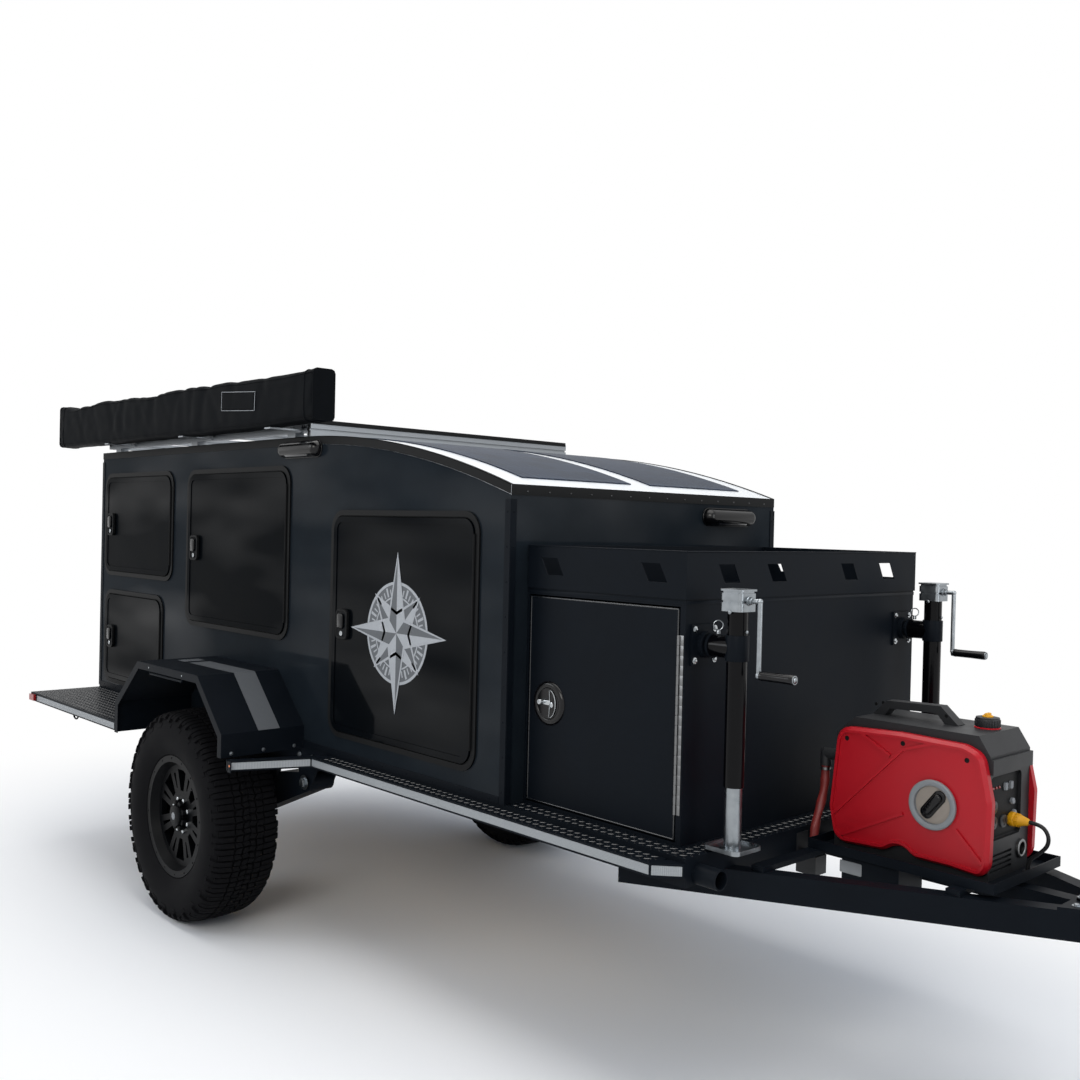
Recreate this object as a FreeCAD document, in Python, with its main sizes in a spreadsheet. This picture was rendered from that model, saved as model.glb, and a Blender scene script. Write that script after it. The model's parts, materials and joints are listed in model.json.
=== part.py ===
import FreeCAD, Part
import math
import os
import Sketcher

# Off-road teardrop trailer with a tongue box, drawn at its real size in millimetres.
# +X points forward along the tongue, +Y to the trailer's left, +Z up from the ground.
# The origin lies on the ground, midway along the trailer's length and on its centreline.
# The right side is drawn, and the left side is its mirror image.

SIZES = {
    # Body
    "body_width": 1400.0,
    "body_length": 3275.0,
    "frame_top": 760.0,
    "roof_top": 1983.0,
    "nose_top": 1780.0,
    "roof_bend": 1250.0,
    "wall_thick": 30.0,
    "roof_thick": 30.0,
    "floor_thick": 30.0,
    # Chassis tubes
    "tube_tall": 76.0,
    "tube_wide": 50.0,
    "frame_nose": 745.0,
    "cross_pitch": 645.0,
    "box_cross_fore": 340.0,
    # Reach of cuts past the faces that they open
    "overcut": 1.0,
    # Tongue, with the places of its ends measured back from its reach
    "tongue_reach": 1790.0,
    "rail_top": 706.0,
    "rail_end": 190.0,
    "rail_start": 475.0,
    "rail_slope": 0.525,
    "rail_gap": 0.5,
    "centre_tube_wide": 50.0,
    "centre_tube_tall": 50.0,
    "centre_tube_end": 305.0,
    "coupler_start": 295.0,
    "coupler_neck": 110.0,
    "coupler_plate": 8.0,
    "coupler_nose_wide": 88.0,
    "lever_wide": 22.0,
    "coupler_low": 640.0,
    "ball_fore": 52.0,
    "socket_radius": 25.9,
    "socket_depth": 55.0,
    "socket_wall": 14.0,
    "lever_root": 46.0,
    "lever_long": 130.0,
    "lever_thick": 12.0,
    "lever_low": 6.0,
    "lever_lift": 18.0,
    # Tongue jack
    "park_jack_fore": 238.0,
    "park_jack_low": 470.0,
    "park_jack_high": 1090.0,
    "park_foot_wide": 150.0,
    "park_head_tall": 58.0,
    "park_flange_long": 100.0,
    "park_flange_wide": 92.0,
    "park_flange_corner": 14.0,
    "park_flange_thick": 7.0,
    # Step bars and side platforms
    "bar_tall": 38.0,
    "bar_top": 750.0,
    "bar_flare_root": 172.0,
    "bar_flare_tip": 52.0,
    "bar_bevel": 678.0,
    "bar_tab_wide": 40.0,
    "platform_rear": 17.0,
    "tread_thick": 3.0,
    # Distances out from the outer faces of the side walls
    "bar_outer": 68.0,
    "bar_nose_outer": 7.0,
    "fender_outer": 354.0,
    "wheel_out": 193.0,
    "awning_inner": 55.0,
    "awning_outer": 150.0,
    # Distances in from the outer faces of the side walls
    "box_half": 79.0,
    "hatch_half": 140.0,
    "arm_inner": 100.0,
    "arm_outer": 12.0,
    "corner_stub_out": 55.0,
    "tail_lamp_out": 110.0,
    "rack_centre": 20.0,
    "panel_outer": 120.0,
    # Fenders, with the gap behind the front door and the lengths behind the fender's front
    "fender_top": 1040.0,
    "fender_knee": 841.0,
    "fender_front_low": 752.0,
    "fender_rear_low": 705.0,
    "fender_front": 182.0,
    "fender_top_front": 207.0,
    "fender_top_rear": 763.0,
    "fender_rear": 990.0,
    "fender_sheet": 3.0,
    "fender_lip": 30.0,
    # Wheels
    "wheel_aft": 486.0,
    "tyre_radius": 430.0,
    "tyre_wide": 285.0,
    "tyre_crown_half": 112.0,
    "tyre_shoulder_drop": 13.0,
    "tyre_shoulder_half": 130.0,
    "tyre_widest": 338.0,
    "bead_radius": 228.0,
    "bead_fit": 0.3,
    "bead_inset": 3.0,
    "rim_half": 118.0,
    "rim_flange_radius": 246.0,
    "rim_flange_thick": 8.0,
    "rim_skin": 8.0,
    "rim_drop": 21.0,
    "rim_seat_front": 25.0,
    "rim_well_front": 42.0,
    "rim_well_rear": 48.0,
    "rim_seat_rear": 30.0,
    "rim_skin_front": 38.0,
    "rim_skin_rear": 44.0,
    "spoke_front": 26.0,
    "spoke_front_out": 9.0,
    "spoke_rear_in": 4.0,
    "disc_face": 80.0,
    "disc_thick": 30.0,
    "hub_radius": 78.0,
    "cap_radius": 46.0,
    "cap_face": 104.0,
    "cap_bevel": 8.0,
    "cap_bevel_deep": 7.0,
    "hub_back": 26.0,
    "hub_bevel": 14.0,
    "spindle_room": 10.0,
    "window_over": 20.0,
    "drum_radius": 150.0,
    "drum_near": 12.0,
    "drum_far": 78.0,
    "window_low": 98.0,
    "window_high": 184.0,
    "window_low_wide": 26.0,
    "window_high_wide": 74.0,
    "slot_low": 112.0,
    "slot_high": 176.0,
    "slot_low_wide": 7.0,
    "slot_high_wide": 18.0,
    "spindle_radius": 25.0,
    "spindle_fit": 0.05,
    "spindle_depth": 110.0,
    # Trailing arms, with distances ahead of the wheel's centre
    "arm_pivot_aft": 508.0,
    "arm_pivot_high": 620.0,
    "arm_half": 38.0,
    "arm_pin_radius": 12.0,
    "arm_fit": 0.3,
    "ear_thick": 8.0,
    "mount_plate": 10.0,
    "mount_rear_aft": 38.0,
    "mount_ear_half": 70.0,
    "spring_aft": 138.0,
    "spring_radius": 42.0,
    "spring_seat_high": 92.0,
    "spring_seat_edge": 8.0,
    "arm_ramp": 90.0,
    "arm_pin_end": 12.0,
    # Side doors over their outer frames, each with the gap ahead of it
    "front_door_aft": 144.0,
    "front_door_wide": 886.0,
    "front_door_low": 835.0,
    "front_door_high": 1695.0,
    "mid_door_aft": 315.0,
    "mid_door_wide": 923.0,
    "mid_door_low": 1162.0,
    "mid_door_high": 1874.0,
    "upper_door_aft": 147.0,
    "upper_door_wide": 807.0,
    "upper_door_low": 1349.0,
    "upper_door_high": 1875.0,
    "lower_door_aft": 306.0,
    "lower_door_wide": 698.0,
    "lower_door_low": 794.0,
    "lower_door_high": 1275.0,
    "upper_door_behind": 53.0,
    "lower_door_behind": 69.0,
    "door_corner": 75.0,
    "door_flange": 20.0,
    "door_lap": 12.0,
    "door_gap": 5.0,
    "door_thick": 34.0,
    "door_proud": 9.0,
    "door_border": 22.0,
    "door_border_rise": 3.0,
    "flange_proud": 7.0,
    "sleeve_fit": 0.3,
    "knuckle_clear": 0.3,
    "latch_wide": 74.0,
    "latch_tall": 112.0,
    "latch_proud": 13.0,
    "latch_inset": 42.0,
    "latch_corner": 20.0,
    # Rear hatch
    "hatch_low": 860.0,
    "hatch_high": 1850.0,
    # Tongue box and its basket
    "box_rear": 6.0,
    "box_front": 659.0,
    "box_top": 1454.0,
    "box_sheet": 3.0,
    "box_door_rear": 14.0,
    "box_door_front": 640.0,
    "box_door_low": 771.0,
    "box_door_high": 1433.0,
    "box_door_thick": 22.0,
    "box_hinge_radius": 4.2,
    "box_hinge_low": 849.0,
    "box_hinge_high": 1353.0,
    "box_hinge_leaf": 17.0,
    "box_hinge_sheet": 1.5,
    "basket_top": 1589.0,
    "basket_over": 4.0,
    "basket_flange": 28.0,
    "cutout_low": 1498.0,
    "cutout_high": 1552.0,
    "cutout_wide": 72.0,
    "cutout_lean": 30.0,
    "side_cutout_rear": 118.0,
    "side_cutout_front": 541.0,
    "front_cutout_outer": 433.0,
    "front_cutout_inner": 200.0,
    "paddle_fore": 112.0,
    "paddle_high": 1084.0,
    "paddle_radius": 38.0,
    "paddle_proud": 5.0,
    # Roof rack and awning
    "rack_profile": 40.0,
    "rack_lift": 20.0,
    "rack_front": 1237.0,
    "rack_rear": 75.0,
    "rack_foot_wide": 60.0,
    "rack_bar_thick": 30.0,
    "rack_slot_mouth": 8.0,
    "rack_slot_room": 18.0,
    "rack_slot_lip": 4.5,
    "rack_slot_depth": 11.0,
    "awning_aft": 225.0,
    "awning_front": 950.0,
    "awning_low": 2014.0,
    "awning_high": 2232.0,
    "awning_corner": 34.0,
    "awning_fit": 0.3,
    "bracket_sheet": 6.0,
    "bracket_wide": 45.0,
    "bracket_short": 8.0,
    # Solar panels
    "panel_inner": 52.0,
    "panel_front": 85.0,
    "panel_rear": 1090.0,
    "panel_thick": 4.0,
    # Lamps
    "porch_aft": 1266.0,
    "porch_wide": 290.0,
    "porch_low": 1903.0,
    "porch_tall": 64.0,
    "porch_deep": 45.0,
    "nose_porch_out": 400.0,
    "nose_porch_low": 1669.0,
    "tail_lamp_wide": 160.0,
    "tail_lamp_tall": 54.0,
    "tail_lamp_corner": 25.0,
    "tail_lamp_deep": 18.0,
    "marker_wide": 60.0,
    "marker_tall": 30.0,
    "marker_deep": 12.0,
    "marker_inset": 8.0,
    # Corner jacks, each in from the side of the tongue box
    "jack_fore": 778.0,
    "jack_out": 80.0,
    "jack_pivot_high": 1326.0,
    "jack_radius": 29.0,
    "jack_low": 943.0,
    "jack_high": 1428.0,
    "jack_head_high": 1489.0,
    "jack_head_wide": 74.0,
    "jack_head_rib": 24.0,
    "jack_head_groove": 6.0,
    "jack_head_groove_deep": 4.0,
    "jack_head_plate": 5.0,
    "jack_leg_radius": 24.0,
    "jack_leg_fit": 0.3,
    "jack_bore_deep": 160.0,
    "jack_leg_overlap": 150.0,
    "jack_foot_low": 771.0,
    "jack_foot_wide": 120.0,
    "jack_foot_sheet": 5.0,
    "jack_foot_corner": 18.0,
    "jack_foot_rim": 7.0,
    "jack_head_corner": 12.0,
    "jack_plate_wide": 115.0,
    "jack_plate_thick": 6.0,
    "boss_radius": 37.0,
    "boss_long": 16.0,
    "stub_radius": 24.0,
    "stub_fit": 0.05,
    "stub_length": 76.0,
    "stub_end_room": 4.0,
    "collar_radius": 31.0,
    "collar_start": 690.0,
    "crank_out": 36.0,
    "crank_drop": 200.0,
    "crank_radius": 7.0,
    "crank_knee": 1.0,
    "grip_radius": 12.0,
    "grip_length": 118.0,
    "corner_stub_high": 714.0,
    "corner_stub_radius": 28.5,
    "corner_stub_bore": 24.3,
    "corner_stub_long": 78.0,
    # Generator tray and generator
    "tray_rear": 800.0,
    "tray_front": 1362.0,
    "tray_half": 205.0,
    "tray_low": 722.0,
    "tray_tall": 28.0,
    "tray_sheet": 3.0,
    "tray_bar_wide": 40.0,
    "tray_bar_front": 1250.0,
    "gen_rear": 826.0,
    "gen_front": 1304.0,
    "gen_half": 150.0,
    "gen_shell": 30.0,
    "gen_shell_rim": 16.0,
    "gen_shell_recess": 6.0,
    "gen_shell_edge": 12.0,
    "gen_shell_draft": -35.0,
    "gen_corner": 48.0,
    "gen_field_corner": 34.0,
    "gen_ridge_wide": 9.0,
    "gen_hood_top": 1112.0,
    "gen_hood_edge": 1060.0,
    "gen_hood_slope": 34.0,
    "gen_core_inset": 8.0,
    "recoil_fore": 332.0,
    "recoil_high": 909.0,
    "recoil_radius": 68.0,
    "recoil_bore": 54.0,
    "recoil_proud": 5.0,
    "recoil_dish": 10.0,
    "gen_handle_half": 20.0,
    "gen_handle_top": 1162.0,
    "gen_handle_bar": 22.0,
    "gen_handle_rear": 14.0,
    "gen_handle_front": 334.0,
    "gen_handle_rear_rise": 96.0,
    "gen_handle_front_fall": 54.0,
    "gen_handle_sunk": 20.0,
    "panel_low": 830.0,
    "panel_high": 1004.0,
    "panel_right": 113.0,
    "panel_left": 70.0,
    "panel_corner": 14.0,
    "panel_recess": 10.0,
    "brow_low": 1012.0,
    "brow_high": 1052.0,
    "brow_proud": 9.0,
    "louvre_low": 745.0,
    "louvre_high": 800.0,
    "louvre_tall": 7.0,
    "louvre_right": 108.0,
    "louvre_left": 20.0,
    "louvre_deep": 8.0,
    "muffler_out": 72.0,
    "muffler_high": 784.0,
    "muffler_radius": 26.0,
    "muffler_bore": 17.0,
    "muffler_proud": 6.0,
    "muffler_deep": 20.0,
    "cap_from_front": 82.0,
    "cap_out": 30.0,
    "fuel_cap_radius": 32.0,
    "fuel_cap_rise": 30.0,
    "plug_out": 25.0,
    "plug_high": 872.0,
    "plug_radius": 20.0,
    "plug_long": 55.0,
    "elbow_run": 30.0,
    "gland_radius": 11.0,
    "gland_tall": 12.0,
    "conduit_elbow": 36.0,
    "elbow_radius": 17.0,
    "junction_wide": 56.0,
    "battery_rear": 905.0,
    "battery_front": 1085.0,
    "battery_inner": 60.0,
    "battery_outer": 190.0,
    "battery_low": 640.0,
    "battery_corner": 8.0,
}

SIDE_CROSSMEMBERS = 5
RACK_CROSSBARS = 3
RACK_FEET = (0.06, 0.5, 0.94)
AWNING_BRACKETS = (0.03, 0.42, 0.84)
STEP_BAR_TABS = (0.04, 0.36, 0.68, 0.96)
WHEEL_WINDOWS = 8
LOUVRES = 4
LEAD_RADIUS = 5.5
CONDUIT_RADIUS = 14.0
ARC_SHARE = 0.45
TINY = 1e-9

# Outline of the generator's side shell: distance ahead of the generator's rear, height.
SHELL_SIDE = [
    (21.0, 741.0), (182.0, 749.0), (212.0, 769.0), (246.0, 771.0), (276.0, 748.0), (383.0, 747.0),
    (470.0, 739.0), (490.0, 770.0), (494.0, 941.0), (466.0, 1066.0), (417.0, 1086.0), (225.0, 1091.0),
    (24.0, 1082.0), (0.0, 843.0),
]

# Raised ridges of the side shell, as paths of the same two distances.
SHELL_RIDGES = [
    [(22.0, 820.0), (238.0, 1041.0), (330.0, 1072.0)],
    [(106.0, 1066.0), (196.0, 1018.0)],
    [(48.0, 762.0), (244.0, 862.0)],
    [(395.0, 850.0), (470.0, 774.0)],
]

# Route of the generator's lead: distance ahead of the front wall, distance left, height.
LEAD_ROUTE = [
    (1349.0, 25.0, 872.0),
    (1380.0, 25.0, 872.0),
    (1401.0, 26.0, 850.0),
    (1401.0, 27.0, 819.0),
    (1376.0, 28.5, 791.0),
    (1345.0, 30.0, 765.0),
    (1345.0, 30.0, 733.0),
]

# Route of the sleeved conduit, in the same three distances.
CONDUIT_ROUTE = [
    (785.6, -100.0, 950.0),
    (785.6, -100.0, 900.0),
    (785.6, -114.0, 850.0),
    (785.6, -140.0, 800.0),
    (785.6, -156.0, 745.0),
    (785.6, -156.0, 690.0),
]


class Size:
    """A length held as its number and as the sheet expression that it comes from."""

    def __init__(self, value, text):
        self.value = value
        self.text = text

    def __add__(self, other):
        other = as_size(other)
        return Size(self.value + other.value, f"({self.text} + {other.text})")

    def __radd__(self, other):
        return as_size(other) + self

    def __sub__(self, other):
        other = as_size(other)
        return Size(self.value - other.value, f"({self.text} - {other.text})")

    def __rsub__(self, other):
        return as_size(other) - self

    def __mul__(self, other):
        other = as_size(other)
        return Size(self.value * other.value, f"({self.text} * {other.text})")

    def __rmul__(self, other):
        return as_size(other) * self

    def __truediv__(self, other):
        other = as_size(other)
        return Size(self.value / other.value, f"({self.text} / {other.text})")

    def __neg__(self):
        return Size(-self.value, f"(-{self.text})")

    def root(self):
        return Size(math.sqrt(self.value), f"sqrt({self.text})")


def as_size(number):
    if isinstance(number, Size):
        return number
    if number < 0:
        return Size(float(number), f"({number})")
    return Size(float(number), str(number))


class Sheet:
    """The document's sheet of sizes, with each size as an attribute."""

    def __init__(self, document, sizes):
        self.cells = document.addObject("Spreadsheet::Sheet", "Sizes")
        for row, (name, value) in enumerate(sizes.items(), start=1):
            self.cells.set(f"A{row}", name)
            self.cells.set(f"B{row}", str(value))
            self.cells.setAlias(f"B{row}", name)
            setattr(self, name, Size(value, f"Sizes.{name}"))


doc = FreeCAD.newDocument("TeardropTrailer")
S = Sheet(doc, SIZES)
doc.recompute()
nodes = []

# The front wall's outer face, placed so that the origin is midway along the trailer.
awning_aft = S.body_length + S.awning_aft
front = (awning_aft - S.tongue_reach) / 2
half = S.body_width / 2
inside = half - S.wall_thick
zero = Size(0.0, "0")

# Places across the trailer
bar_outer = half + S.bar_outer
bar_nose_outer = half + S.bar_nose_outer
fender_outer = half + S.fender_outer
wheel_out = half + S.wheel_out
awning_inner = half + S.awning_inner
awning_outer = half + S.awning_outer
box_half = half - S.box_half
hatch_half = half - S.hatch_half
arm_inner = half - S.arm_inner
arm_outer = half - S.arm_outer
corner_stub_out = half - S.corner_stub_out
tail_lamp_out = half - S.tail_lamp_out
rack_centre = half - S.rack_centre
panel_outer = half - S.panel_outer
jack_out = box_half - S.jack_out

# Places along the trailer. What the doors leave free of the body's length is shared by their gaps.
upper_free = S.body_length - S.front_door_wide - S.mid_door_wide - S.upper_door_wide
upper_share = upper_free / (S.front_door_aft + S.mid_door_aft + S.upper_door_aft + S.upper_door_behind)
front_door_aft = S.front_door_aft * upper_share
mid_door_aft = front_door_aft + S.front_door_wide + S.mid_door_aft * upper_share
upper_door_aft = mid_door_aft + S.mid_door_wide + S.upper_door_aft * upper_share
lower_free = S.body_length - front_door_aft - S.front_door_wide - S.fender_rear - S.lower_door_wide
lower_share = lower_free / (S.fender_front + S.lower_door_aft + S.lower_door_behind)
fender_front = front_door_aft + S.front_door_wide + S.fender_front * lower_share
fender_top_front = fender_front + S.fender_top_front
fender_top_rear = fender_front + S.fender_top_rear
fender_rear = fender_front + S.fender_rear
lower_door_aft = fender_rear + S.lower_door_aft * lower_share
wheel_aft = fender_front + S.wheel_aft
arm_pivot_aft = wheel_aft - S.arm_pivot_aft
mount_rear_aft = wheel_aft - S.mount_rear_aft
spring_aft = wheel_aft - S.spring_aft
bar_flare_root = fender_front - S.bar_flare_root
bar_flare_tip = fender_front - S.bar_flare_tip
platform_rear = S.body_length - S.platform_rear
rack_rear = S.body_length - S.rack_rear
rail_end = S.tongue_reach - S.rail_end
centre_tube_end = S.tongue_reach - S.centre_tube_end
coupler_start = S.tongue_reach - S.coupler_start
coupler_neck = S.tongue_reach - S.coupler_neck
ball_fore = S.tongue_reach - S.ball_fore
park_jack_fore = S.tongue_reach - S.park_jack_fore


def fore(distance):
    """The x of a place ahead of the front wall."""
    return front + distance


def aft(distance):
    """The x of a place behind the front wall."""
    return front - distance


# Ways of making shapes

def bind(thing, path, amount):
    thing.setExpression(path, as_size(amount).text)


def pin(sketch, edge, point, direction, amount):
    """Fix one coordinate of a sketch point to a size."""
    amount = as_size(amount)
    if abs(amount.value) < TINY:
        axis = -2 if direction == "X" else -1
        sketch.addConstraint(Sketcher.Constraint("PointOnObject", edge, point, axis))
        return
    rule = Sketcher.Constraint("Distance" + direction, -1, 1, edge, point, amount.value)
    index = sketch.addConstraint(rule)
    bind(sketch, f"Constraints[{index}]", amount)


def draw_circle(sketch, centre_u, centre_v, radius):
    centre_u, centre_v, radius = as_size(centre_u), as_size(centre_v), as_size(radius)
    middle = FreeCAD.Vector(centre_u.value, centre_v.value, 0)
    circle = Part.Circle(middle, FreeCAD.Vector(0, 0, 1), radius.value)
    edge = sketch.addGeometry(circle, False)
    index = sketch.addConstraint(Sketcher.Constraint("Radius", edge, radius.value))
    bind(sketch, f"Constraints[{index}]", radius)
    pin(sketch, edge, 3, "X", centre_u)
    pin(sketch, edge, 3, "Y", centre_v)


def draw_outline(sketch, points):
    """Draw a closed outline. A point of four values starts an arc about its last two."""
    points = [tuple(as_size(value) for value in point) for point in points]
    first = sketch.GeometryCount
    ends = []
    for index, point in enumerate(points):
        following = points[(index + 1) % len(points)]
        start = FreeCAD.Vector(point[0].value, point[1].value, 0)
        stop = FreeCAD.Vector(following[0].value, following[1].value, 0)
        if len(point) == 2:
            sketch.addGeometry(Part.LineSegment(start, stop), False)
            ends.append((1, 2))
            continue
        middle = FreeCAD.Vector(point[2].value, point[3].value, 0)
        spoke = start - middle
        circle = Part.Circle(middle, FreeCAD.Vector(0, 0, 1), spoke.Length)
        start_angle = math.atan2(spoke.y, spoke.x)
        stop_angle = math.atan2(stop.y - middle.y, stop.x - middle.x)
        if spoke.cross(stop - middle).z > 0:
            sketch.addGeometry(Part.ArcOfCircle(circle, start_angle, stop_angle), False)
            ends.append((1, 2))
        else:
            sketch.addGeometry(Part.ArcOfCircle(circle, stop_angle, start_angle), False)
            ends.append((2, 1))
    for index, point in enumerate(points):
        following = (index + 1) % len(points)
        edge = first + index
        rule = Sketcher.Constraint("Coincident", edge, ends[index][1],
                                   first + following, ends[following][0])
        sketch.addConstraint(rule)
        pin(sketch, edge, ends[index][0], "X", point[0])
        pin(sketch, edge, ends[index][0], "Y", point[1])
        if len(point) == 4:
            run = abs(points[following][0].value - point[0].value)
            rise = abs(points[following][1].value - point[1].value)
            if run > rise:
                pin(sketch, edge, 3, "Y", point[3])
            else:
                pin(sketch, edge, 3, "X", point[2])


def add_sketch(body, plane, offset, loops):
    sketch = body.newObject("Sketcher::SketchObject", body.Name + "Sketch")
    support = next(item for item in body.Origin.OriginFeatures if item.Role == plane + "_Plane")
    sketch.AttachmentSupport = [(support, "")]
    sketch.MapMode = "FlatFace"
    bind(sketch, ".AttachmentOffset.Base.z", offset)
    for loop in loops:
        if isinstance(loop, dict):
            draw_circle(sketch, loop["u"], loop["v"], loop["radius"])
        else:
            draw_outline(sketch, loop)
    return sketch


def add_pad(body, plane, loops, low, high, draft=0.0):
    """Extrude closed loops between two places along the plane's normal axis, perhaps with a draft."""
    low, high = as_size(low), as_size(high)
    drafted = as_size(draft)
    offset = -high if plane == "XZ" else low
    feature = body.newObject("PartDesign::Pad", body.Name + "Pad")
    feature.Profile = add_sketch(body, plane, offset, loops)
    bind(feature, "Length", high - low)
    if drafted.value != 0:
        bind(feature, "TaperAngle", drafted)
    return body


def add_pocket(body, plane, loops, low, high):
    """Cut closed loops between two places along the plane's normal axis."""
    low, high = as_size(low), as_size(high)
    offset = -low if plane == "XZ" else high
    feature = body.newObject("PartDesign::Pocket", body.Name + "Pocket")
    feature.Profile = add_sketch(body, plane, offset, loops)
    bind(feature, "Length", high - low)
    return feature


def new_body(name):
    return doc.addObject("PartDesign::Body", name)


def pad(name, plane, loops, low, high):
    return add_pad(new_body(name), plane, loops, low, high)


def circle(u, v, radius):
    return {"u": u, "v": v, "radius": radius}


def rectangle(u_low, u_high, v_low, v_high):
    return [(u_low, v_low), (u_high, v_low), (u_high, v_high), (u_low, v_high)]


def rounded(u_low, u_high, v_low, v_high, radius):
    u_a, u_b = u_low + radius, u_high - radius
    v_a, v_b = v_low + radius, v_high - radius
    return [
        (u_a, v_low), (u_b, v_low, u_b, v_a),
        (u_high, v_a), (u_high, v_b, u_b, v_b),
        (u_b, v_high), (u_a, v_high, u_a, v_b),
        (u_low, v_b), (u_low, v_a, u_a, v_a),
    ]


def squircle(u, v, wide, tall, radius):
    """A rounded rectangle about a centre."""
    return rounded(u - wide / 2, u + wide / 2, v - tall / 2, v + tall / 2, radius)


def turned(points, degrees):
    """Points turned about the sketch's origin."""
    along = math.cos(math.radians(degrees))
    across = math.sin(math.radians(degrees))
    return [(u * along - v * across, u * across + v * along) for u, v in points]


def offset_path(points, width):
    """The same path moved sideways by a width, with mitred corners."""
    normals = []
    for (start_u, start_v), (stop_u, stop_v) in zip(points, points[1:]):
        run = stop_u - start_u
        rise = stop_v - start_v
        length = (run * run + rise * rise).root()
        normals.append((-rise / length, run / length))
    moved = []
    for index, (u, v) in enumerate(points):
        before = normals[max(index - 1, 0)]
        after = normals[min(index, len(normals) - 1)]
        share = width / (before[0] * after[0] + before[1] * after[1] + 1)
        moved.append((u + (before[0] + after[0]) * share, v + (before[1] + after[1]) * share))
    return moved


def eased(points, radius):
    """Plain points with each corner rounded by a tangent arc, as far as its edges allow."""
    outline = []
    for index, (u, v) in enumerate(points):
        before = points[index - 1]
        after = points[(index + 1) % len(points)]
        run_in = math.hypot(u - before[0], v - before[1])
        run_out = math.hypot(after[0] - u, after[1] - v)
        in_u, in_v = (u - before[0]) / run_in, (v - before[1]) / run_in
        out_u, out_v = (after[0] - u) / run_out, (after[1] - v) / run_out
        cross = in_u * out_v - in_v * out_u
        half_turn = math.tan(math.atan2(abs(cross), in_u * out_u + in_v * out_v) / 2)
        reach = min(radius * half_turn, ARC_SHARE * min(run_in, run_out))
        lean = math.copysign(reach / half_turn, cross)
        start_u, start_v = u - in_u * reach, v - in_v * reach
        outline.append((start_u, start_v, start_u - in_v * lean, start_v + in_u * lean))
        outline.append((u + out_u * reach, v + out_v * reach))
    return outline


def band(points, width):
    """The outline of a strip of one width along a path."""
    points = [(as_size(u), as_size(v)) for u, v in points]
    return points + offset_path(points, as_size(width))[::-1]


def block(name, x_low, x_high, y_low, y_high, z_low, z_high):
    box = doc.addObject("Part::Box", name)
    sides = (("Length", x_low, x_high), ("Width", y_low, y_high), ("Height", z_low, z_high))
    for side, low, high in sides:
        bind(box, side, as_size(high) - low)
    for axis, low in (("x", x_low), ("y", y_low), ("z", z_low)):
        bind(box, ".Placement.Base." + axis, low)
    return box


TURNS = {
    "X": FreeCAD.Rotation(FreeCAD.Vector(0, 1, 0), 90),
    "Y": FreeCAD.Rotation(FreeCAD.Vector(1, 0, 0), -90),
    "Z": FreeCAD.Rotation(),
}


def rod(name, axis, start, radius, length):
    """A cylinder from a start point along +X, +Y or +Z."""
    cylinder = doc.addObject("Part::Cylinder", name)
    cylinder.Placement = FreeCAD.Placement(FreeCAD.Vector(), TURNS[axis])
    bind(cylinder, "Radius", radius)
    bind(cylinder, "Height", length)
    for letter, amount in zip("xyz", start):
        bind(cylinder, ".Placement.Base." + letter, amount)
    return cylinder


def fuse(name, shapes):
    joined = doc.addObject("Part::MultiFuse", name)
    joined.Shapes = shapes
    return joined


def cut(name, base, tool):
    result = doc.addObject("Part::Cut", name)
    result.Base = base
    result.Tool = tool
    return result


def mirror(thing):
    copy = doc.addObject("Part::Mirroring", thing.Name + "Mirror")
    copy.Source = thing
    copy.Normal = FreeCAD.Vector(0, 1, 0)
    copy.Base = FreeCAD.Vector(0, 0, 0)
    return copy


def node(label, *things):
    """Name a finished sub-part. Several solids that ride together share one."""
    if len(things) == 1:
        result = things[0]
    else:
        result = doc.addObject("Part::Compound", label)
        result.Links = list(things)
    result.Label = label
    nodes.append(result)
    return result


def node_pair(label, thing):
    """A right-hand piece and its mirror image as two sub-parts."""
    node(label + "_right", thing)
    node(label + "_left", mirror(thing))


def tube_along(label, route, radius):
    """A round tube along straight runs joined by tangent arcs."""
    points = [FreeCAD.Vector(front.value + x, y, z) for x, y, z in route]
    edges = []
    cursor = points[0]
    radii = []
    for before, here, after in zip(points, points[1:], points[2:]):
        run_in = here - before
        run_out = after - here
        turn = run_in.getAngle(run_out)
        reach = ARC_SHARE * min(run_in.Length, run_out.Length)
        radii.append(reach / math.tan(turn / 2))
        start = here - run_in.normalize() * reach
        stop = here + run_out.normalize() * reach
        inward = (start + stop) * 0.5 - here
        sagitta = radii[-1] * (1 / math.cos(turn / 2) - 1)
        middle = here + inward.normalize() * sagitta
        if (start - cursor).Length > TINY:
            edges.append(Part.LineSegment(cursor, start).toShape())
        edges.append(Part.Arc(start, middle, stop).toShape())
        cursor = stop
    edges.append(Part.LineSegment(cursor, points[-1]).toShape())
    wire = Part.Wire(edges)
    direction = points[1] - points[0]
    section = Part.Wire([Part.Circle(points[0], direction, radius).toShape()])
    feature = doc.addObject("Part::Feature", label)
    feature.Shape = wire.makePipeShell([section], True, False)
    print(label, "length", round(wire.Length, 1), "bend radii", [round(r, 1) for r in radii])
    print(label, "volume over section times length",
          round(feature.Shape.Volume / (math.pi * radius ** 2 * wire.Length), 4))
    return feature


# Chassis

frame_low = S.frame_top - S.tube_tall
rail_inner = half - S.tube_wide
rear = aft(S.body_length)


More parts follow.
